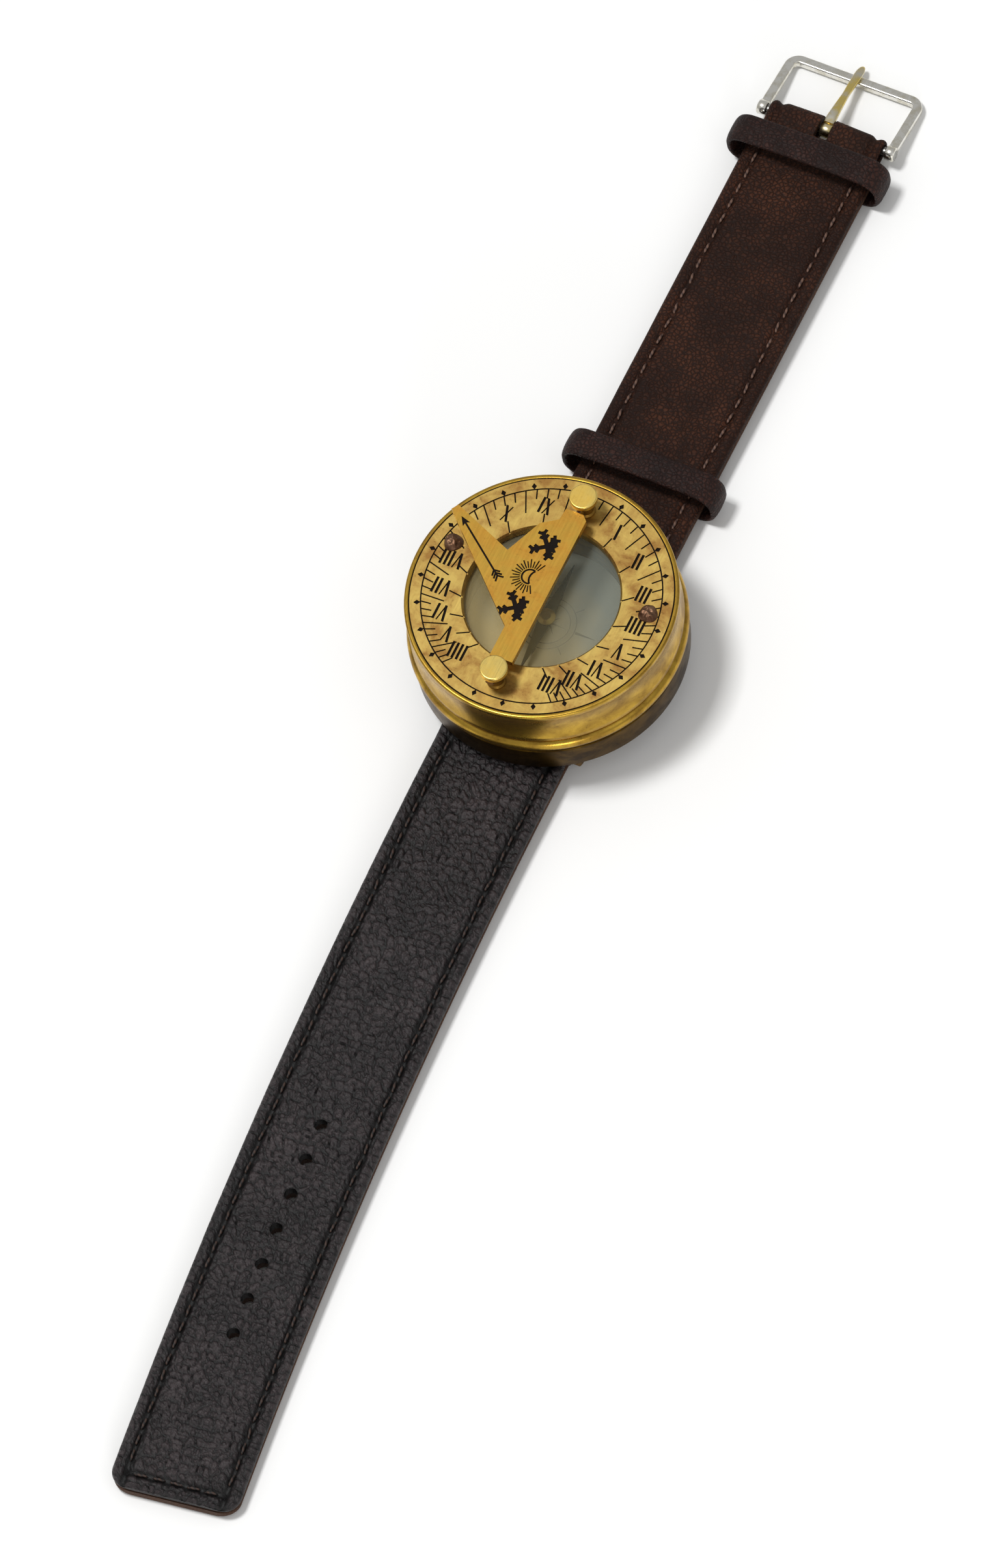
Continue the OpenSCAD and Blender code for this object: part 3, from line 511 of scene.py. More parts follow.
# The ring's outline follows its CAD node: ledges inside, a rim, and outside a hollow wall.
def makeUpperRing():
    shape = caseShape
    low, high = boxOf("upper_ring")
    seatRadius, plateOut = boxOf("glass_seat")[1][0] + shape["gap"], plateRadius + shape["gap"]
    plateLow = boxOf("dial_plate")[0][2]
    ledgeHigh = boxOf("compass_bowl")[1][2] - shape["ledge"]
    ledgeLow = ledgeHigh - shape["ledge"]
    bowlOut, spigot = shape["bowlOut"], caseRadius - shape["spigotIn"]
    wallFrom, wallTo = low[2] + shape["rim"], high[2] - shape["rim"]
    t = np.linspace(1, -1, shape["sweepSteps"])
    wall = np.stack([caseRadius - shape["sweepDeep"] * (1 - t * t),
                     (wallFrom + wallTo) / 2 + t * (wallTo - wallFrom) / 2], 1)
    upper = roundCorners([[bowlOut, ledgeLow], [bowlOut, ledgeHigh], [seatRadius, ledgeHigh],
                          [seatRadius, plateLow], [plateOut, plateLow], [plateOut, high[2]],
                          [caseRadius, high[2]], wall[0]],
                         [0, 0, 0, 0, 0, shape["plateEdge"], shape["edge"], 0])
    lower = roundCorners([[caseRadius, wallFrom - 0.1], [caseRadius, low[2]], [spigot, low[2]],
                          [spigot, ledgeLow]], [0, 0.15, 0, 0])
    outline = np.concatenate([upper, wall[1:], lower])
    ring = buildMesh("upperRing", *lathe(outline, shape["turns"]), looks["case"], "case")
    placePiece(ring, "upper_ring")


# Lower band, groove, bead and groove, then the spigot and the inside.
def makeCaseBase():
    shape = caseShape
    low, high = boxOf("case_base")
    upperFrom = boxOf("upper_ring")[0][2]
    beadHigh, grooveHigh = shape["beadHigh"], shape["grooveHigh"]
    beadLow = upperFrom - grooveHigh - beadHigh
    bandRadius, grooveRadius = caseRadius + shape["bandOut"], caseRadius - shape["grooveDeep"]
    shoulder, inside = caseRadius - shape["shoulder"], caseRadius - shape["wall"]
    floorTop = low[2] + shape["floor"]
    angle = np.linspace(-math.pi / 2, math.pi / 2, 18)
    bead = np.stack([caseRadius + shape["beadOut"] + beadHigh / 2 * (np.cos(angle) - 1),
                     beadLow + beadHigh / 2 * (1 + np.sin(angle))], 1)
    lower = roundCorners([[0.02, low[2]], [bandRadius, low[2]], [bandRadius, beadLow - grooveHigh],
                          [grooveRadius, beadLow - grooveHigh], [grooveRadius, beadLow], bead[0]],
                         [0, shape["bandEdge"], shape["edge"], 0, 0, 0])
    upper = roundCorners([[grooveRadius, beadLow + beadHigh], [grooveRadius, upperFrom],
                          [shoulder, upperFrom], [shoulder, high[2]], [inside, high[2]],
                          [inside, floorTop], [0.02, floorTop]], [0, 0, 0, 0, 0, 1.0, 0])
    outline = np.concatenate([lower, bead[1:], upper])
    base = buildMesh("caseBase", *lathe(outline, shape["turns"]), looks["case"], "case")
    # the lower band under the bead takes the darker brass: painted shade and painted reflection of the dark
    # strap beside it
    lookBelow(base, beadLow - 0.5 * grooveHigh, looks["band"])
    placePiece(base, "case_base")


postShape = {"stem": 0.9, "foot": 1.55, "neck": 1.25, "flare": 1.5, "head": 2.3, "headHigh": 1.1,
             "headEdge": 0.22, "turns": 96}


# A turned foot, a thin neck and a flat disc head with a soft edge.
def makePosts():
    shape = postShape
    low, high = boxOf("gnomon_posts")
    stem, foot, neck, flare, head = (shape[key] for key in ("stem", "foot", "neck", "flare", "head"))
    postY, headLow = high[1] - head, high[2] - shape["headHigh"]
    outline = roundCorners([[0, low[2]], [stem, low[2]], [stem, dialTop], [foot, dialTop],
                            [foot, dialTop + 0.4], [neck, dialTop + 0.7], [neck, headLow - 0.2],
                            [flare, headLow], [head, headLow], [head, high[2]], [0, high[2]]],
                           [0, 0, 0, 0, 0.1, 0.15, 0.15, 0.1, 0.2, shape["headEdge"], 0])
    points, faces = latheSolid(outline, shape["turns"])
    posts = joinParts([(points + [0, side * postY, 0], faces) for side in (-1, 1)])
    posts = buildMesh("gnomonPosts", *posts, looks["bright"], "case", 25)
    # the foot and neck take the dull brass: painted shade under the head, with some tarnish
    lookBelow(posts, headLow - 0.1, looks["sheet"])
    placePiece(posts, "gnomon_posts")


rivetShape = {"radius": 1.6, "high": 0.8, "dent": 0.26, "at": (17.5, 3.5), "rings": 16, "turns": 48}


# Hand-set rivets: a dome whose radius and height wander with the hammer's marks.
def makeRivets():
    shape = rivetShape
    rings, turns = shape["rings"], shape["turns"]
    t = np.linspace(0, 1, rings)[:, None]
    angle = fullTurn(turns)[None, :]
    parts = []
    for side in (-1, 1):
        radius = shape["radius"] * np.sin(t * math.pi / 2) * (1 + 0.06 * np.cos(3 * angle + side) * t)
        x, y = radius * np.cos(angle), radius * np.sin(angle)
        dent = smoothNoise(x + 20, y + 20, 0.7, 5 + side) + 0.4 * smoothNoise(x + 9, y + 9, 0.3, 8)
        z = dialTop - 0.02 + shape["high"] * np.cos(t * math.pi / 2) + shape["dent"] * dent * (1 - t ** 4)
        dome = np.stack([x, y, z], -1)[1:].reshape(-1, 3)
        top = [[0, 0, z[0, 0]]]
        faces = gridFaces(rings - 1, turns, closeColumns=True)
        faces += [(len(dome), (i + 1) % turns, i) for i in range(turns)]
        faces += [tuple(range((rings - 2) * turns, (rings - 1) * turns))]
        parts.append((np.concatenate([dome, top]) + [side * shape["at"][0], shape["at"][1], 0], faces))
    rivets = buildMesh("dialRivets", *joinParts(parts), looks["copper"], "case", 40)
    placePiece(rivets, "dial_rivets")


makeUpperRing()
makeCaseBase()
makePosts()
makeRivets()
print("stage: case, posts and rivets made")


# The strap. Heights are above the bar that the piece hangs on.

strapShape = {
    "top": 1.2, "bottom": -0.5,              # faces of the flat outer leather
    "loopMiddle": 1.37, "loopHalf": 0.43,    # the leather round a bar: middle radius, half thickness
    "crown": 0.16,                           # how far padding lifts the middle
    "seamInset": 2.5, "seamDent": 0.42, "seamWidth": 0.6,
    "edgeRound": 0.9, "wave": 0.16, "across": 81, "step": 0.3,
}
outerMiddle = (strapShape["top"] + strapShape["bottom"]) / 2
outerHalf = (strapShape["top"] - strapShape["bottom"]) / 2


# Part of a circle round the bar, in y and z, between two angles in degrees.
def loopTurn(radius, start, end, count):
    angle = np.radians(np.linspace(start, end, count))
    return np.stack([radius * np.cos(angle), radius * np.sin(angle)], 1)


# A leather strip: a section with rounded edges carried along a line in y and z. Grain, crown and
# the seams' dents move its outer side. Returns rings of x, y and z, and the height of the grain.
def strapSkin(path, halfThick, halfWide, grain, relief, seed, seamFrom=1e6, tipSeam=1e6):
    shape = strapShape
    along = np.cumsum(np.r_[0, np.hypot(*np.diff(path, axis=0).T)])
    tangent = np.gradient(path, axis=0)
    tangent /= np.linalg.norm(tangent, axis=1, keepdims=True)
    normal = np.stack([-tangent[:, 1], tangent[:, 0]], 1)
    across = np.linspace(-1, 1, shape["across"])[None, :]
    back = across[:, ::-3]
    bend = np.linspace(math.pi / 2, -math.pi / 2, 9)[None, 1:-1]
    w, h, s = halfWide[:, None], halfThick[:, None], along[:, None]
    flat = w - np.minimum(shape["edgeRound"], 0.9 * w)
    x = np.concatenate([flat * across, flat + (w - flat) * np.cos(bend), flat * back,
                        -flat - (w - flat) * np.cos(bend[:, ::-1])], 1)
    n = np.concatenate([h * np.ones_like(across), h * np.sin(bend), -h * np.ones_like(back),
                        h * np.sin(bend[:, ::-1])], 1)
    outer = np.clip(n / h, 0, 1)
    sewn = np.clip((s - seamFrom) / 3, 0, 1)
    lift = shape["crown"] * (1 - np.clip(x / w, -1, 1) ** 2)
    fromSeam = np.abs(x) - (strapHalf - shape["seamInset"])
    lift = lift - shape["seamDent"] * np.exp(-(fromSeam / shape["seamWidth"]) ** 2)
    ridge = np.exp(-((s - tipSeam) / shape["seamWidth"]) ** 2) * (fromSeam < 0)
    lift = (lift - shape["seamDent"] * ridge) * sewn
    pressed = np.maximum(np.exp(-(fromSeam / shape["seamWidth"]) ** 2), ridge)
    height = 0.6 * pebbles(x + 40, s + 60, grain, seed)
    height = height + 0.4 * pebbles(x + 45, s + 65, 0.55 * grain, seed + 3)
    height = height * (1 - 0.8 * pressed)
    lift = lift + relief * (height - 0.8)
    lift = lift + shape["wave"] * smoothNoise(x + 50, s + 80, 8, seed + 7)
    n = n + outer * lift
    middle = path[:, None, :] + n[..., None] * normal[:, None, :]
    return np.concatenate([x[..., None], middle], -1), height


# A strip's mesh, with the height of its grain kept on its points for the leather to read.
def buildSkin(name, points, height, material, body):
    rows, columns = points.shape[:2]
    piece = buildMesh(name, points.reshape(-1, 3), sweptFaces(rows, columns), material, body, 60)
    kept = piece.data.attributes.new("grain", "FLOAT", "POINT")
    kept.data.foreach_set("value", height.ravel().astype(np.float32))
    return piece


# Takes the cutter's shape out of the piece and removes the cutter.
def cutWith(piece, cutter):
    change = piece.modifiers.new("cut", "BOOLEAN")
    change.object = cutter
    change.solver = "EXACT"
    bpy.context.view_layer.update()
    with bpy.context.temp_override(object=piece, active_object=piece):
        bpy.ops.object.modifier_apply(modifier="cut")
    bpy.data.objects.remove(cutter)
    piece.data.set_sharp_from_angle(angle=math.radians(50))


def onStrapBar(points):
    return points + [0, strapBar[1], strapBar[2]]


# The strip starts under the bar, turns round it and runs along the top.
def strapStart(run, height, half):
    shape = strapShape
    loop = loopTurn(shape["loopMiddle"], 268, 92, 26)
    tuck = [[1.9, -shape["loopMiddle"]], [1.0, -shape["loopMiddle"]]]
    path = np.concatenate([tuck, loop, np.stack([run, height], 1)])
    return path, np.concatenate([[0.3, 0.4], np.full(len(loop), shape["loopHalf"]), half])


buckleEndShape = {"middle": 1.29, "half": 0.51, "taper": 5.0, "narrower": 0.8, "narrowRun": 1.2,
                  "slotHalf": 1.2, "slotFrom": 2.5, "slotRound": 0.3}
buckleRun = buckleBar[1] - strapBar[1]


# Half widths, at distances along it, of a strip that narrows before the buckle.
def buckleWidths(run, half):
    end = buckleEndShape
    return half - end["narrower"] * smoothStep((run - (buckleRun - end["taper"])) / end["narrowRun"])


def makeBucklePiece():
    shape, end = strapShape, buckleEndShape
    length = buckleRun
    run = np.arange(0.5, length - 0.4, shape["step"])
    rise, fall = smoothStep((6 - run) / 6), smoothStep((run - (length - end["taper"])) / end["taper"])
    height = outerMiddle + (shape["loopMiddle"] - outerMiddle) * rise + (end["middle"] - outerMiddle) * fall
    thick = outerHalf + (shape["loopHalf"] - outerHalf) * rise + (end["half"] - outerHalf) * fall
    path, thick = strapStart(run, height, thick)
    far = loopTurn(end["middle"], 88, -88, 22) + [length, 0]
    tuck = [[length - 1.2, -end["middle"]], [length - 1.75, -end["middle"]]]
    path = np.concatenate([path, far, tuck])
    thick = np.concatenate([thick, np.full(len(far), end["half"]), [0.4, 0.3]])
    skin, height = strapSkin(path, thick, buckleWidths(path[:, 0], strapHalf), 0.9, 0.05, 21, 8)
    piece = buildSkin("bucklePieceLeather", onStrapBar(skin), height, looks["brown"], "buckle_piece")
    slotHalf, start = end["slotHalf"], buckleBar[1] - end["slotFrom"]
    outline = roundCorners([[-slotHalf, start + 9], [-slotHalf, start], [slotHalf, start],
                            [slotHalf, start + 9]], [0, end["slotRound"], end["slotRound"], 0])
    cutWith(piece, buildMesh("slotCutter", *flatSlab(outline, -3, 9), looks["brown"], "buckle_piece"))
    placePiece(piece, "buckle_piece_leather")


tipShape = {"length": 147.5, "bow": 9.0, "drop": 1.0, "corner": 3.0, "holes": 7, "holeRadius": 1.1,
            "holeFromTip": 30.5, "holePitch": 6.6}
bowRadius = tipShape["length"] ** 2 / (2 * tipShape["bow"])
tipSlope = math.asin(tipShape["drop"] / tipShape["length"])


# A straight strip along +Y from the bar, bent sideways on part of a large circle, laid towards -Y,
# leaned down a little and moved to its bar.
def onTipBar(points):
    x, s, z = points[..., 0], points[..., 1], points[..., 2]
    flatX = bowRadius - (bowRadius - x) * np.cos(s / bowRadius)
    flatY = -(bowRadius - x) * np.sin(s / bowRadius)
    y = flatY * math.cos(tipSlope) - z * math.sin(tipSlope)
    z = flatY * math.sin(tipSlope) + z * math.cos(tipSlope)
    return np.stack([flatX, y, z], -1) + [0, tipBar[1], tipBar[2]]


# Half widths of a strip whose end has rounded corners, at distances along it.
def tipWidths(run, half):
    corner = tipShape["corner"]
    into = np.clip(run - (tipShape["length"] - corner), 0, corner)
    return half - corner + np.sqrt(np.maximum(corner ** 2 - into ** 2, 0.01))


def tipRun(start, step):
    corner, length = tipShape["corner"], tipShape["length"]
    turn = np.sin(np.linspace(0.02, 1, 14) * math.pi / 2)
    return np.concatenate([np.arange(start, length - corner, step), length - corner + corner * turn])


# One rod for each adjusting hole.
def holeCutter():
    shape = tipShape
    angle = fullTurn(20)
    ring = shape["holeRadius"] * np.stack([np.cos(angle), np.sin(angle)], 1)
    places = [shape["length"] - shape["holeFromTip"] - shape["holePitch"] * i for i in range(shape["holes"])]
    slabs = [flatSlab(ring + [0, place], -6, 6) for place in places]
    rods = [(onTipBar(points), faces) for points, faces in slabs]
    return buildMesh("holeCutter", *joinParts(rods), looks["black"], "tip_piece")


def makeTipPiece():
    shape = strapShape
    run = tipRun(0.5, shape["step"])
    rise = smoothStep((6 - run) / 6)
    endEdge = np.sqrt(np.clip((tipShape["length"] - run) / 0.5, 0.15, 1))
    thick = (outerHalf + (shape["loopHalf"] - outerHalf) * rise) * endEdge
    path, thick = strapStart(run, outerMiddle + (shape["loopMiddle"] - outerMiddle) * rise, thick)
    wide = np.concatenate([np.full(len(path) - len(run), strapHalf), tipWidths(run, strapHalf)])
    reach = np.hypot(*np.diff(path, axis=0).T).sum()
    skin, height = strapSkin(path, thick, wide, 1.7, 0.3, 33, 8, reach - shape["seamInset"])
    piece = buildSkin("tipPieceLeather", onTipBar(skin), height, looks["black"], "tip_piece")
    cutWith(piece, holeCutter())
    placePiece(piece, "tip_piece_leather")


liningShape = {"middle": -1.15, "half": 0.63, "inset": 0.15, "from": 2.0, "step": 1.5}


# A flat strip under the outer leather.
def makeLining(name, node, body, run, wide, place):
    shape = liningShape
    path = np.stack([run, np.full(len(run), shape["middle"])], 1)
    skin, height = strapSkin(path, np.full(len(run), shape["half"]), wide, 1.0, 0.0, 3)
    skin[..., 2] = np.clip(skin[..., 2], shape["middle"] - shape["half"], shape["middle"] + shape["half"])
    piece = buildSkin(name, place(skin), height, looks["lining"], body)
    placePiece(piece, node)
    return piece


makeBucklePiece()
makeTipPiece()
liningFrom, liningStep = liningShape["from"], liningShape["step"]
liningHalf = strapHalf - liningShape["inset"]
liningRun = np.arange(liningFrom, buckleRun - liningFrom, liningStep)
makeLining("bucklePieceLining", "buckle_piece_lining", "buckle_piece", liningRun,
           buckleWidths(liningRun, liningHalf), onStrapBar)
liningRun = tipRun(liningFrom, liningStep)
cutWith(makeLining("tipPieceLining", "tip_piece_lining", "tip_piece", liningRun,
                   tipWidths(liningRun, liningHalf), onTipBar), holeCutter())
print("stage: strap leathers made")


# Sewing: one small raised stitch for each pair of needle holes.

stitchShape = {"pitch": 3.0, "length": 2.4, "radius": 0.24, "around": 8, "rings": 9, "lean": 4,
               "sunk": 0.1, "buckleFrom": 6.5, "buckleCount": 26, "tipFrom": 7.0, "tipCount": 46,
               "endFrom": 2.5, "endCount": 5}


# Copies, in a row, of a stretched bead that dips into the leather at its ends.
def stitchRow(start, direction, count, seed):
    shape = stitchShape
    t = np.linspace(0, 1, shape["rings"])[1:-1, None]
    angle = fullTurn(shape["around"])[None, :]
    thick = shape["radius"] * np.sin(t * math.pi) ** 0.35
    ring = np.stack([(t - 0.5) * shape["length"] + 0 * angle, thick * np.cos(angle),
                     0.8 * thick * np.sin(angle) - 0.16 * (2 * t - 1) ** 2], -1).reshape(-1, 3)
    end = 0.5 * shape["length"]
    bead = np.concatenate([ring, [[-end, 0, -0.2], [end, 0, -0.2]]])
    faces = poleFaces(len(t), shape["around"])
    random = np.random.default_rng(seed)
    lean = np.radians(random.normal(0, shape["lean"], count)) + math.atan2(direction[1], direction[0])
    shift = random.normal(0, 0.05, (count, 2))
    rows = []
    for i in range(count):
        c, s = math.cos(lean[i]), math.sin(lean[i])
        turned = bead @ np.array([[c, s, 0], [-s, c, 0], [0, 0, 1]])
        at = np.array(start) + np.array(direction) * shape["pitch"] * i + shift[i]
        rows.append((turned + [*at, 0], faces))
    return rows


def makeSeam(name, node, body, rows, place, material):
    points, faces = joinParts([part for row in rows for part in row])
    points = place(points + [0, 0, strapShape["top"] - stitchShape["sunk"]])
    placePiece(buildMesh(name, points, faces, material, body, 60), node)


seamX = strapHalf - strapShape["seamInset"]
rows = [stitchRow((side * seamX, stitchShape["buckleFrom"]), (0, 1), stitchShape["buckleCount"], 40 + side)
        for side in (-1, 1)]
makeSeam("bucklePieceStitches", "buckle_piece_seam", "buckle_piece", rows, onStrapBar, looks["thread"])
rows = [stitchRow((side * seamX, stitchShape["tipFrom"]), (0, 1), stitchShape["tipCount"], 50 + side)
        for side in (-1, 1)]
rows.append(stitchRow((stitchShape["endFrom"] - seamX, tipShape["length"] - strapShape["seamInset"]),
                      (1, 0), stitchShape["endCount"], 60))
makeSeam("tipPieceStitches", "tip_piece_seam", "tip_piece", rows, onTipBar, looks["darkThread"])
print("stage: stitches made")


# Keepers.

keeperShape = {"thick": 1.0, "corner": 2.9, "bulge": 0.16, "arch": 0.3, "grain": 0.8, "relief": 0.05,
               "around": 44}


# A strip with a rounded section carried round a rounded rectangle, arched over the top.
def makeKeeper(name, node, body, seed):
    shape = keeperShape
    low, high = boxOf(node)
    half, inset, corner = (high[1] - low[1]) / 2, shape["thick"] / 2, shape["corner"]
    x1, z0, z1 = high[0] - inset, low[2] + inset, high[2] - inset
    angle = np.linspace(0, math.pi / 2, 12)
    quarter = corner * np.stack([np.cos(angle), np.sin(angle)], 1)
    corners = [quarter + [x1 - corner, z1 - corner], quarter[::-1] * [-1, 1] + [corner - x1, z1 - corner],
               -quarter + [corner - x1, z0 + corner], quarter[::-1] * [1, -1] + [x1 - corner, z0 + corner]]
    line = []
    for here, after in zip(corners, corners[1:] + corners[:1]):
        count = max(3, int(np.linalg.norm(after[0] - here[-1]) / 0.4))
        line += [here, here[-1] + (after[0] - here[-1]) * np.linspace(0, 1, count + 1)[1:-1, None]]
    line = np.concatenate(line)
    tangent = np.roll(line, -1, 0) - np.roll(line, 1, 0)
    tangent /= np.linalg.norm(tangent, axis=1, keepdims=True)
    normal = np.stack([tangent[:, 1], -tangent[:, 0]], 1)
    arch = shape["arch"] * (1 - (line[:, 0] / x1) ** 2) * (line[:, 1] > (z0 + z1) / 2)
    line = line + np.stack([0 * arch, arch - shape["arch"]], 1) * (line[:, 1:2] > (z0 + z1) / 2)
    turn = fullTurn(shape["around"])
    v = half * signedPower(np.cos(turn), 0.5)
    n = inset * signedPower(np.sin(turn), 0.6)
    along = np.cumsum(np.r_[0, np.hypot(*np.diff(line, axis=0).T)])
    gridU, gridV = np.meshgrid(along, v, indexing="ij")
    lift = shape["relief"] * (pebbles(gridU + 30, gridV + 30, shape["grain"], seed) - 0.8)
    out = n + np.clip(n / inset, 0, 1) * (shape["bulge"] * (1 - (v / half) ** 2) + lift)
    points = np.stack([line[:, 0:1] + out * normal[:, 0:1], (low[1] + high[1]) / 2 + gridV,
                       line[:, 1:2] + out * normal[:, 1:2]], -1)
    rows, columns = points.shape[:2]
    faces = gridFaces(rows, columns, closeRows=True, closeColumns=True)
    keeper = buildMesh(name, points.reshape(-1, 3), faces, looks["keeper"], body, 60)
    placePiece(keeper, node)


makeKeeper("fixedKeeper", "fixed_keeper", "buckle_piece", 71)
makeKeeper("slidingKeeper", "sliding_keeper", "loose_keeper", 72)


# The buckle, drawn flat with its bar at the origin and then leaned down.

buckleShape = {"reach": 12.0, "wide": 1.6, "thick": 1.3, "corner": 1.7, "eyeRadius": 1.25,
               "boreRadius": 0.8, "eyeWide": 2.0, "round": 0.4}
buckleLean = math.asin((buckleBar[2] - 0.8) / (buckleShape["reach"] - buckleShape["wide"] / 2))


def atBuckle(points):
    x, y, z = points[..., 0], points[..., 1], points[..., 2]
    c, s = math.cos(buckleLean), math.sin(buckleLean)
    return np.stack([x, y * c + z * s, z * c - y * s], -1) + [0, buckleBar[1], buckleBar[2]]


# A section of rounded corners, one for each place along a line in the plane that axis is square to.
def sweepFlat(line, wide, thick, roundness, axis):
    tangent = np.gradient(line, axis=0)
    tangent /= np.linalg.norm(tangent, axis=1, keepdims=True)
    side = np.cross(tangent, axis)
    turn = fullTurn(24)[None, :]
    a = 0.5 * wide[:, None] * signedPower(np.cos(turn), roundness)
    b = 0.5 * thick[:, None] * signedPower(np.sin(turn), roundness)
    points = line[:, None, :] + a[..., None] * side[:, None, :] + b[..., None] * np.array(axis)
    return points.reshape(-1, 3), sweptFaces(len(line), 24)


# A ring round the bar, as wide as given, with its middle at x.
def eyeRing(x, wide):
    shape = buckleShape
    outer, bore, half = shape["eyeRadius"], shape["boreRadius"], wide / 2
    edge = 0.15
    outline = [[bore, -half], [outer - edge, -half], [outer, edge - half], [outer, half - edge],
               [outer - edge, half], [bore, half]]
    points, faces = lathe(outline, 48)
    return np.stack([points[:, 2] + x, points[:, 0], points[:, 1]], 1), faces


def makeBuckleFrame():
    shape = buckleShape
    armX = boxOf("buckle_frame")[1][0] - shape["wide"] / 2
    far = shape["reach"] - shape["wide"] / 2
    line = roundCorners([[-armX, 0.9], [-armX, far], [armX, far], [armX, 0.9]],
                        [0, shape["corner"], shape["corner"], 0], 10)
    line = np.column_stack([line, np.zeros(len(line))])
    count = len(line)
    bar = sweepFlat(line, np.full(count, shape["wide"]), np.full(count, shape["thick"]), shape["round"],
                    (0, 0, 1))
    parts = [bar, eyeRing(-armX, shape["wide"]), eyeRing(armX, shape["wide"])]
    points, faces = joinParts(parts)
    frameMesh = buildMesh("buckleFrame", atBuckle(points), faces, looks["nickel"], "buckle", 50)
    placePiece(frameMesh, "buckle_frame")


tongueShape = {
    "y": [0.7, 2.0, 4.0, 7.0, 9.5, 11.2, 12.6, 13.3, 13.6],
    "z": [1.1, 1.25, 1.35, 1.3, 1.2, 1.13, 1.08, 1.02, 0.98],
    "wide": [1.9, 1.8, 1.5, 1.15, 1.35, 1.5, 1.4, 1.0, 0.4],
    "thick": [0.7, 0.8, 0.8, 0.8, 0.8, 0.75, 0.6, 0.5, 0.3],
}


# A bent shank, narrow in its middle, from an eye on the bar to a rounded end past the frame.
def makeTongue():
    shape = tongueShape
    y = np.linspace(shape["y"][0], shape["y"][-1], 60)
    z, wide, thick = (np.interp(y, shape["y"], shape[name]) for name in ("z", "wide", "thick"))
    smooth = np.ones(5) / 5
    z[2:-2] = np.convolve(z, smooth, "valid")
    wide[2:-2] = np.convolve(wide, smooth, "valid")
    line = np.stack([0 * y, y, z], 1)
    shank = sweepFlat(line, thick, wide, 0.6, (1, 0, 0))
    points, faces = joinParts([shank, eyeRing(0, buckleShape["eyeWide"])])
    tongue = buildMesh("buckleTongue", atBuckle(points), faces, looks["gilt"], "tongue", 50)
    placePiece(tongue, "buckle_tongue")


makeBuckleFrame()
makeTongue()
print("stage: keepers and buckle made")


# The compass card's printed rose.

roseShape = {"outer": 4.7, "inner": 3.7, "line": 0.15, "long": 3.5, "short": 2.3, "pointer": 8.6,
             "arm": 6.6, "tick": (4.9, 6.3), "thick": 0.02}


def makeRose():
    shape = roseShape
    low = boxOf("compass_card")[1][2]
    high = low + shape["thick"]
    half = shape["line"] / 2
    parts = [lathe([[r - half, low], [r + half, low], [r + half, high], [r - half, high]], 96)
             for r in (shape["outer"], shape["inner"])]
    for i in range(8):
        angle = i * math.pi / 4
        turn = np.array([[math.cos(angle), math.sin(angle)], [-math.sin(angle), math.cos(angle)]])
        reach = shape["short"] if i % 2 else shape["long"]
        parts.append(flatSlab(np.array([[0.5, 0.03], [reach, 0.03], [0.75, 0.34]]) @ turn, low, high))
        if i % 2:
            a, b = shape["tick"]
            tick = np.array([[a, -half], [b, -half], [b, half], [a, half]])
        else:
            tip = shape["pointer"] if i == 0 else shape["arm"]
            tick = np.array([[shape["outer"] + 0.2, -0.24], [tip, 0], [shape["outer"] + 0.2, 0.24]])
        parts.append(flatSlab(tick @ turn, low, high))
    buildMesh("printedRose", *joinParts(parts), looks["ink"], "case", 20)


makeRose()
print("stage: rose made")


# CAD pieces that keep their shape.

nodeLooks = {
    "case_back": "case", "back_screws": "bright", "strap_bracket": "sheet", "strap_bars": "steel",
    "compass_bowl": "bowl", "compass_card": "card", "needle_pin": "steel", "compass_needle": "blued",
    "needle_cap": "bright", "glass_seat": "bowl", "window_glass": "glass", "dial_plate": "dial",
    "post_nuts": "bright", "pivot_pins": "copper", "gnomon": "gnomon", "buckle_bar": "steel",
}
for nodeName, lookName in nodeLooks.items():
    nodes[nodeName].data.materials.clear()
    nodes[nodeName].data.materials.append(looks[lookName])


# Floor, light and camera.

viewShape = {
    "azimuth": 37.1, "elevation": 61.0, "roll": 13.2,   # degrees
    "distance": 9000.0, "high": 252.75,                 # mm from the lens, mm seen from top to bottom
    "dialRight": 7.19, "dialUp": 30.3,                  # mm from the middle of the view to the dial
}


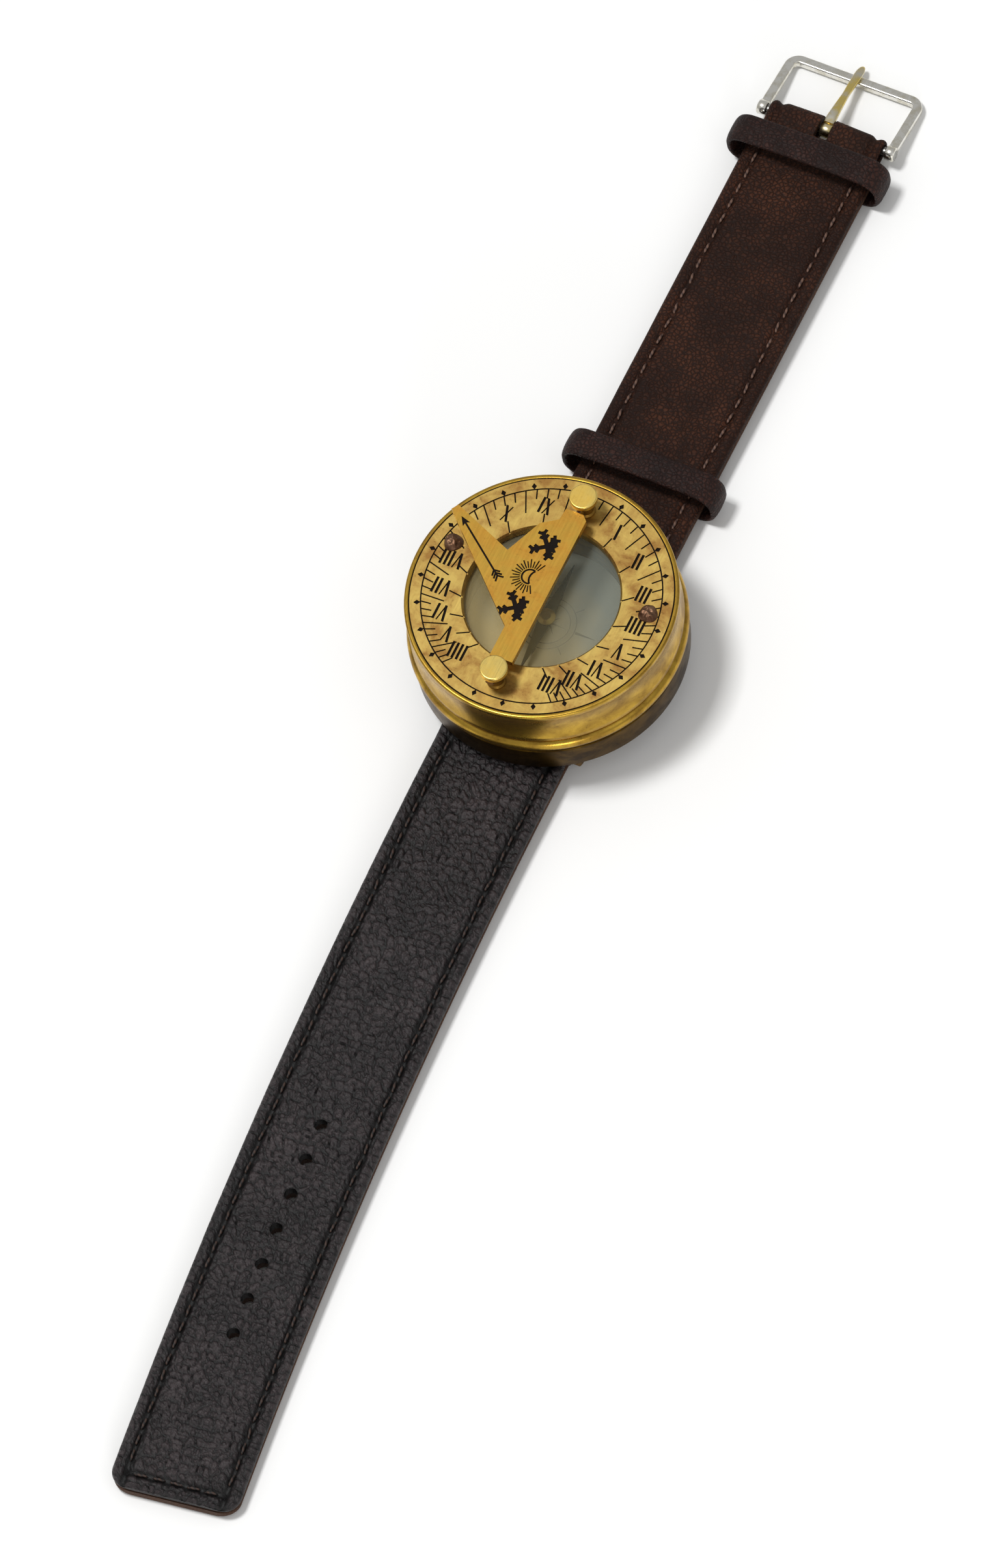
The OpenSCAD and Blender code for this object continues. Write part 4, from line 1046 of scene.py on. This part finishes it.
def makeCamera():
    view = viewShape
    azimuth, elevation, roll = (math.radians(view[key]) for key in ("azimuth", "elevation", "roll"))
    toward = Vector((math.sin(azimuth) * math.cos(elevation), -math.cos(azimuth) * math.cos(elevation),
                     math.sin(elevation)))
    level = Vector((math.cos(azimuth), math.sin(azimuth), 0))
    upright = toward.cross(level)
    right = level * math.cos(roll) - upright * math.sin(roll)
    up = upright * math.cos(roll) + level * math.sin(roll)
    aim = Vector((0, 0, dialTop)) - right * view["dialRight"] - up * view["dialUp"]
    data = bpy.data.cameras.new("camera")
    camera = addObject("camera", data)
    axes = Matrix((right, up, toward)).transposed().to_4x4()
    camera.matrix_world = Matrix.Translation((aim + toward * view["distance"]) * mm) @ axes
    data.sensor_fit = "VERTICAL"
    data.sensor_height = 24
    data.lens = data.sensor_height * view["distance"] / view["high"]
    data.clip_end = 30
    bpy.context.scene.camera = camera


lightShape = {
    "world": 0.46,
    "key": {"from": (-0.36, -0.06, 1.22), "distance": 2.5, "size": 0.5, "power": 38},
    "fill": {"from": (0.9, -0.3, 0.8), "distance": 2.0, "size": 1.2, "power": 2},
    "low": {"from": (0.5, -0.85, 0.3), "distance": 1.6, "size": 0.4, "power": 4},
}


def addLight(name):
    shape = lightShape[name]
    data = bpy.data.lights.new(name, "AREA")
    data.size = shape["size"]
    data.energy = shape["power"]
    light = addObject(name, data)
    direction = Vector(shape["from"]).normalized()
    light.location = direction * shape["distance"]
    light.rotation_euler = direction.to_track_quat("Z", "Y").to_euler()


floorShape = {"half": 4.0, "height": -0.0002}    # m


def makeFloor():
    mesh = bpy.data.meshes.new("floor")
    half, height = floorShape["half"], floorShape["height"]
    corners = [(x * half, y * half, height) for x, y in ((-1, -1), (1, -1), (1, 1), (-1, 1))]
    mesh.from_pydata(corners, [], [(0, 1, 2, 3)])
    mesh.materials.append(newMaterial("palePaper", {"Base Color": linearColour("#f8f8f7"),
                                                    "Roughness": 0.9})[0])
    floor = addObject("floor", mesh)


makeCamera()
for lightName in ("key", "fill", "low"):
    addLight(lightName)
makeFloor()
world = bpy.data.worlds.new("studio")
world.use_nodes = True
world.node_tree.nodes["Background"].inputs["Color"].default_value = (1, 1, 1, 1)
world.node_tree.nodes["Background"].inputs["Strength"].default_value = lightShape["world"]
bpy.context.scene.world = world
bpy.context.scene.view_settings.view_transform = "Standard"
print("stage: floor, light and camera set")
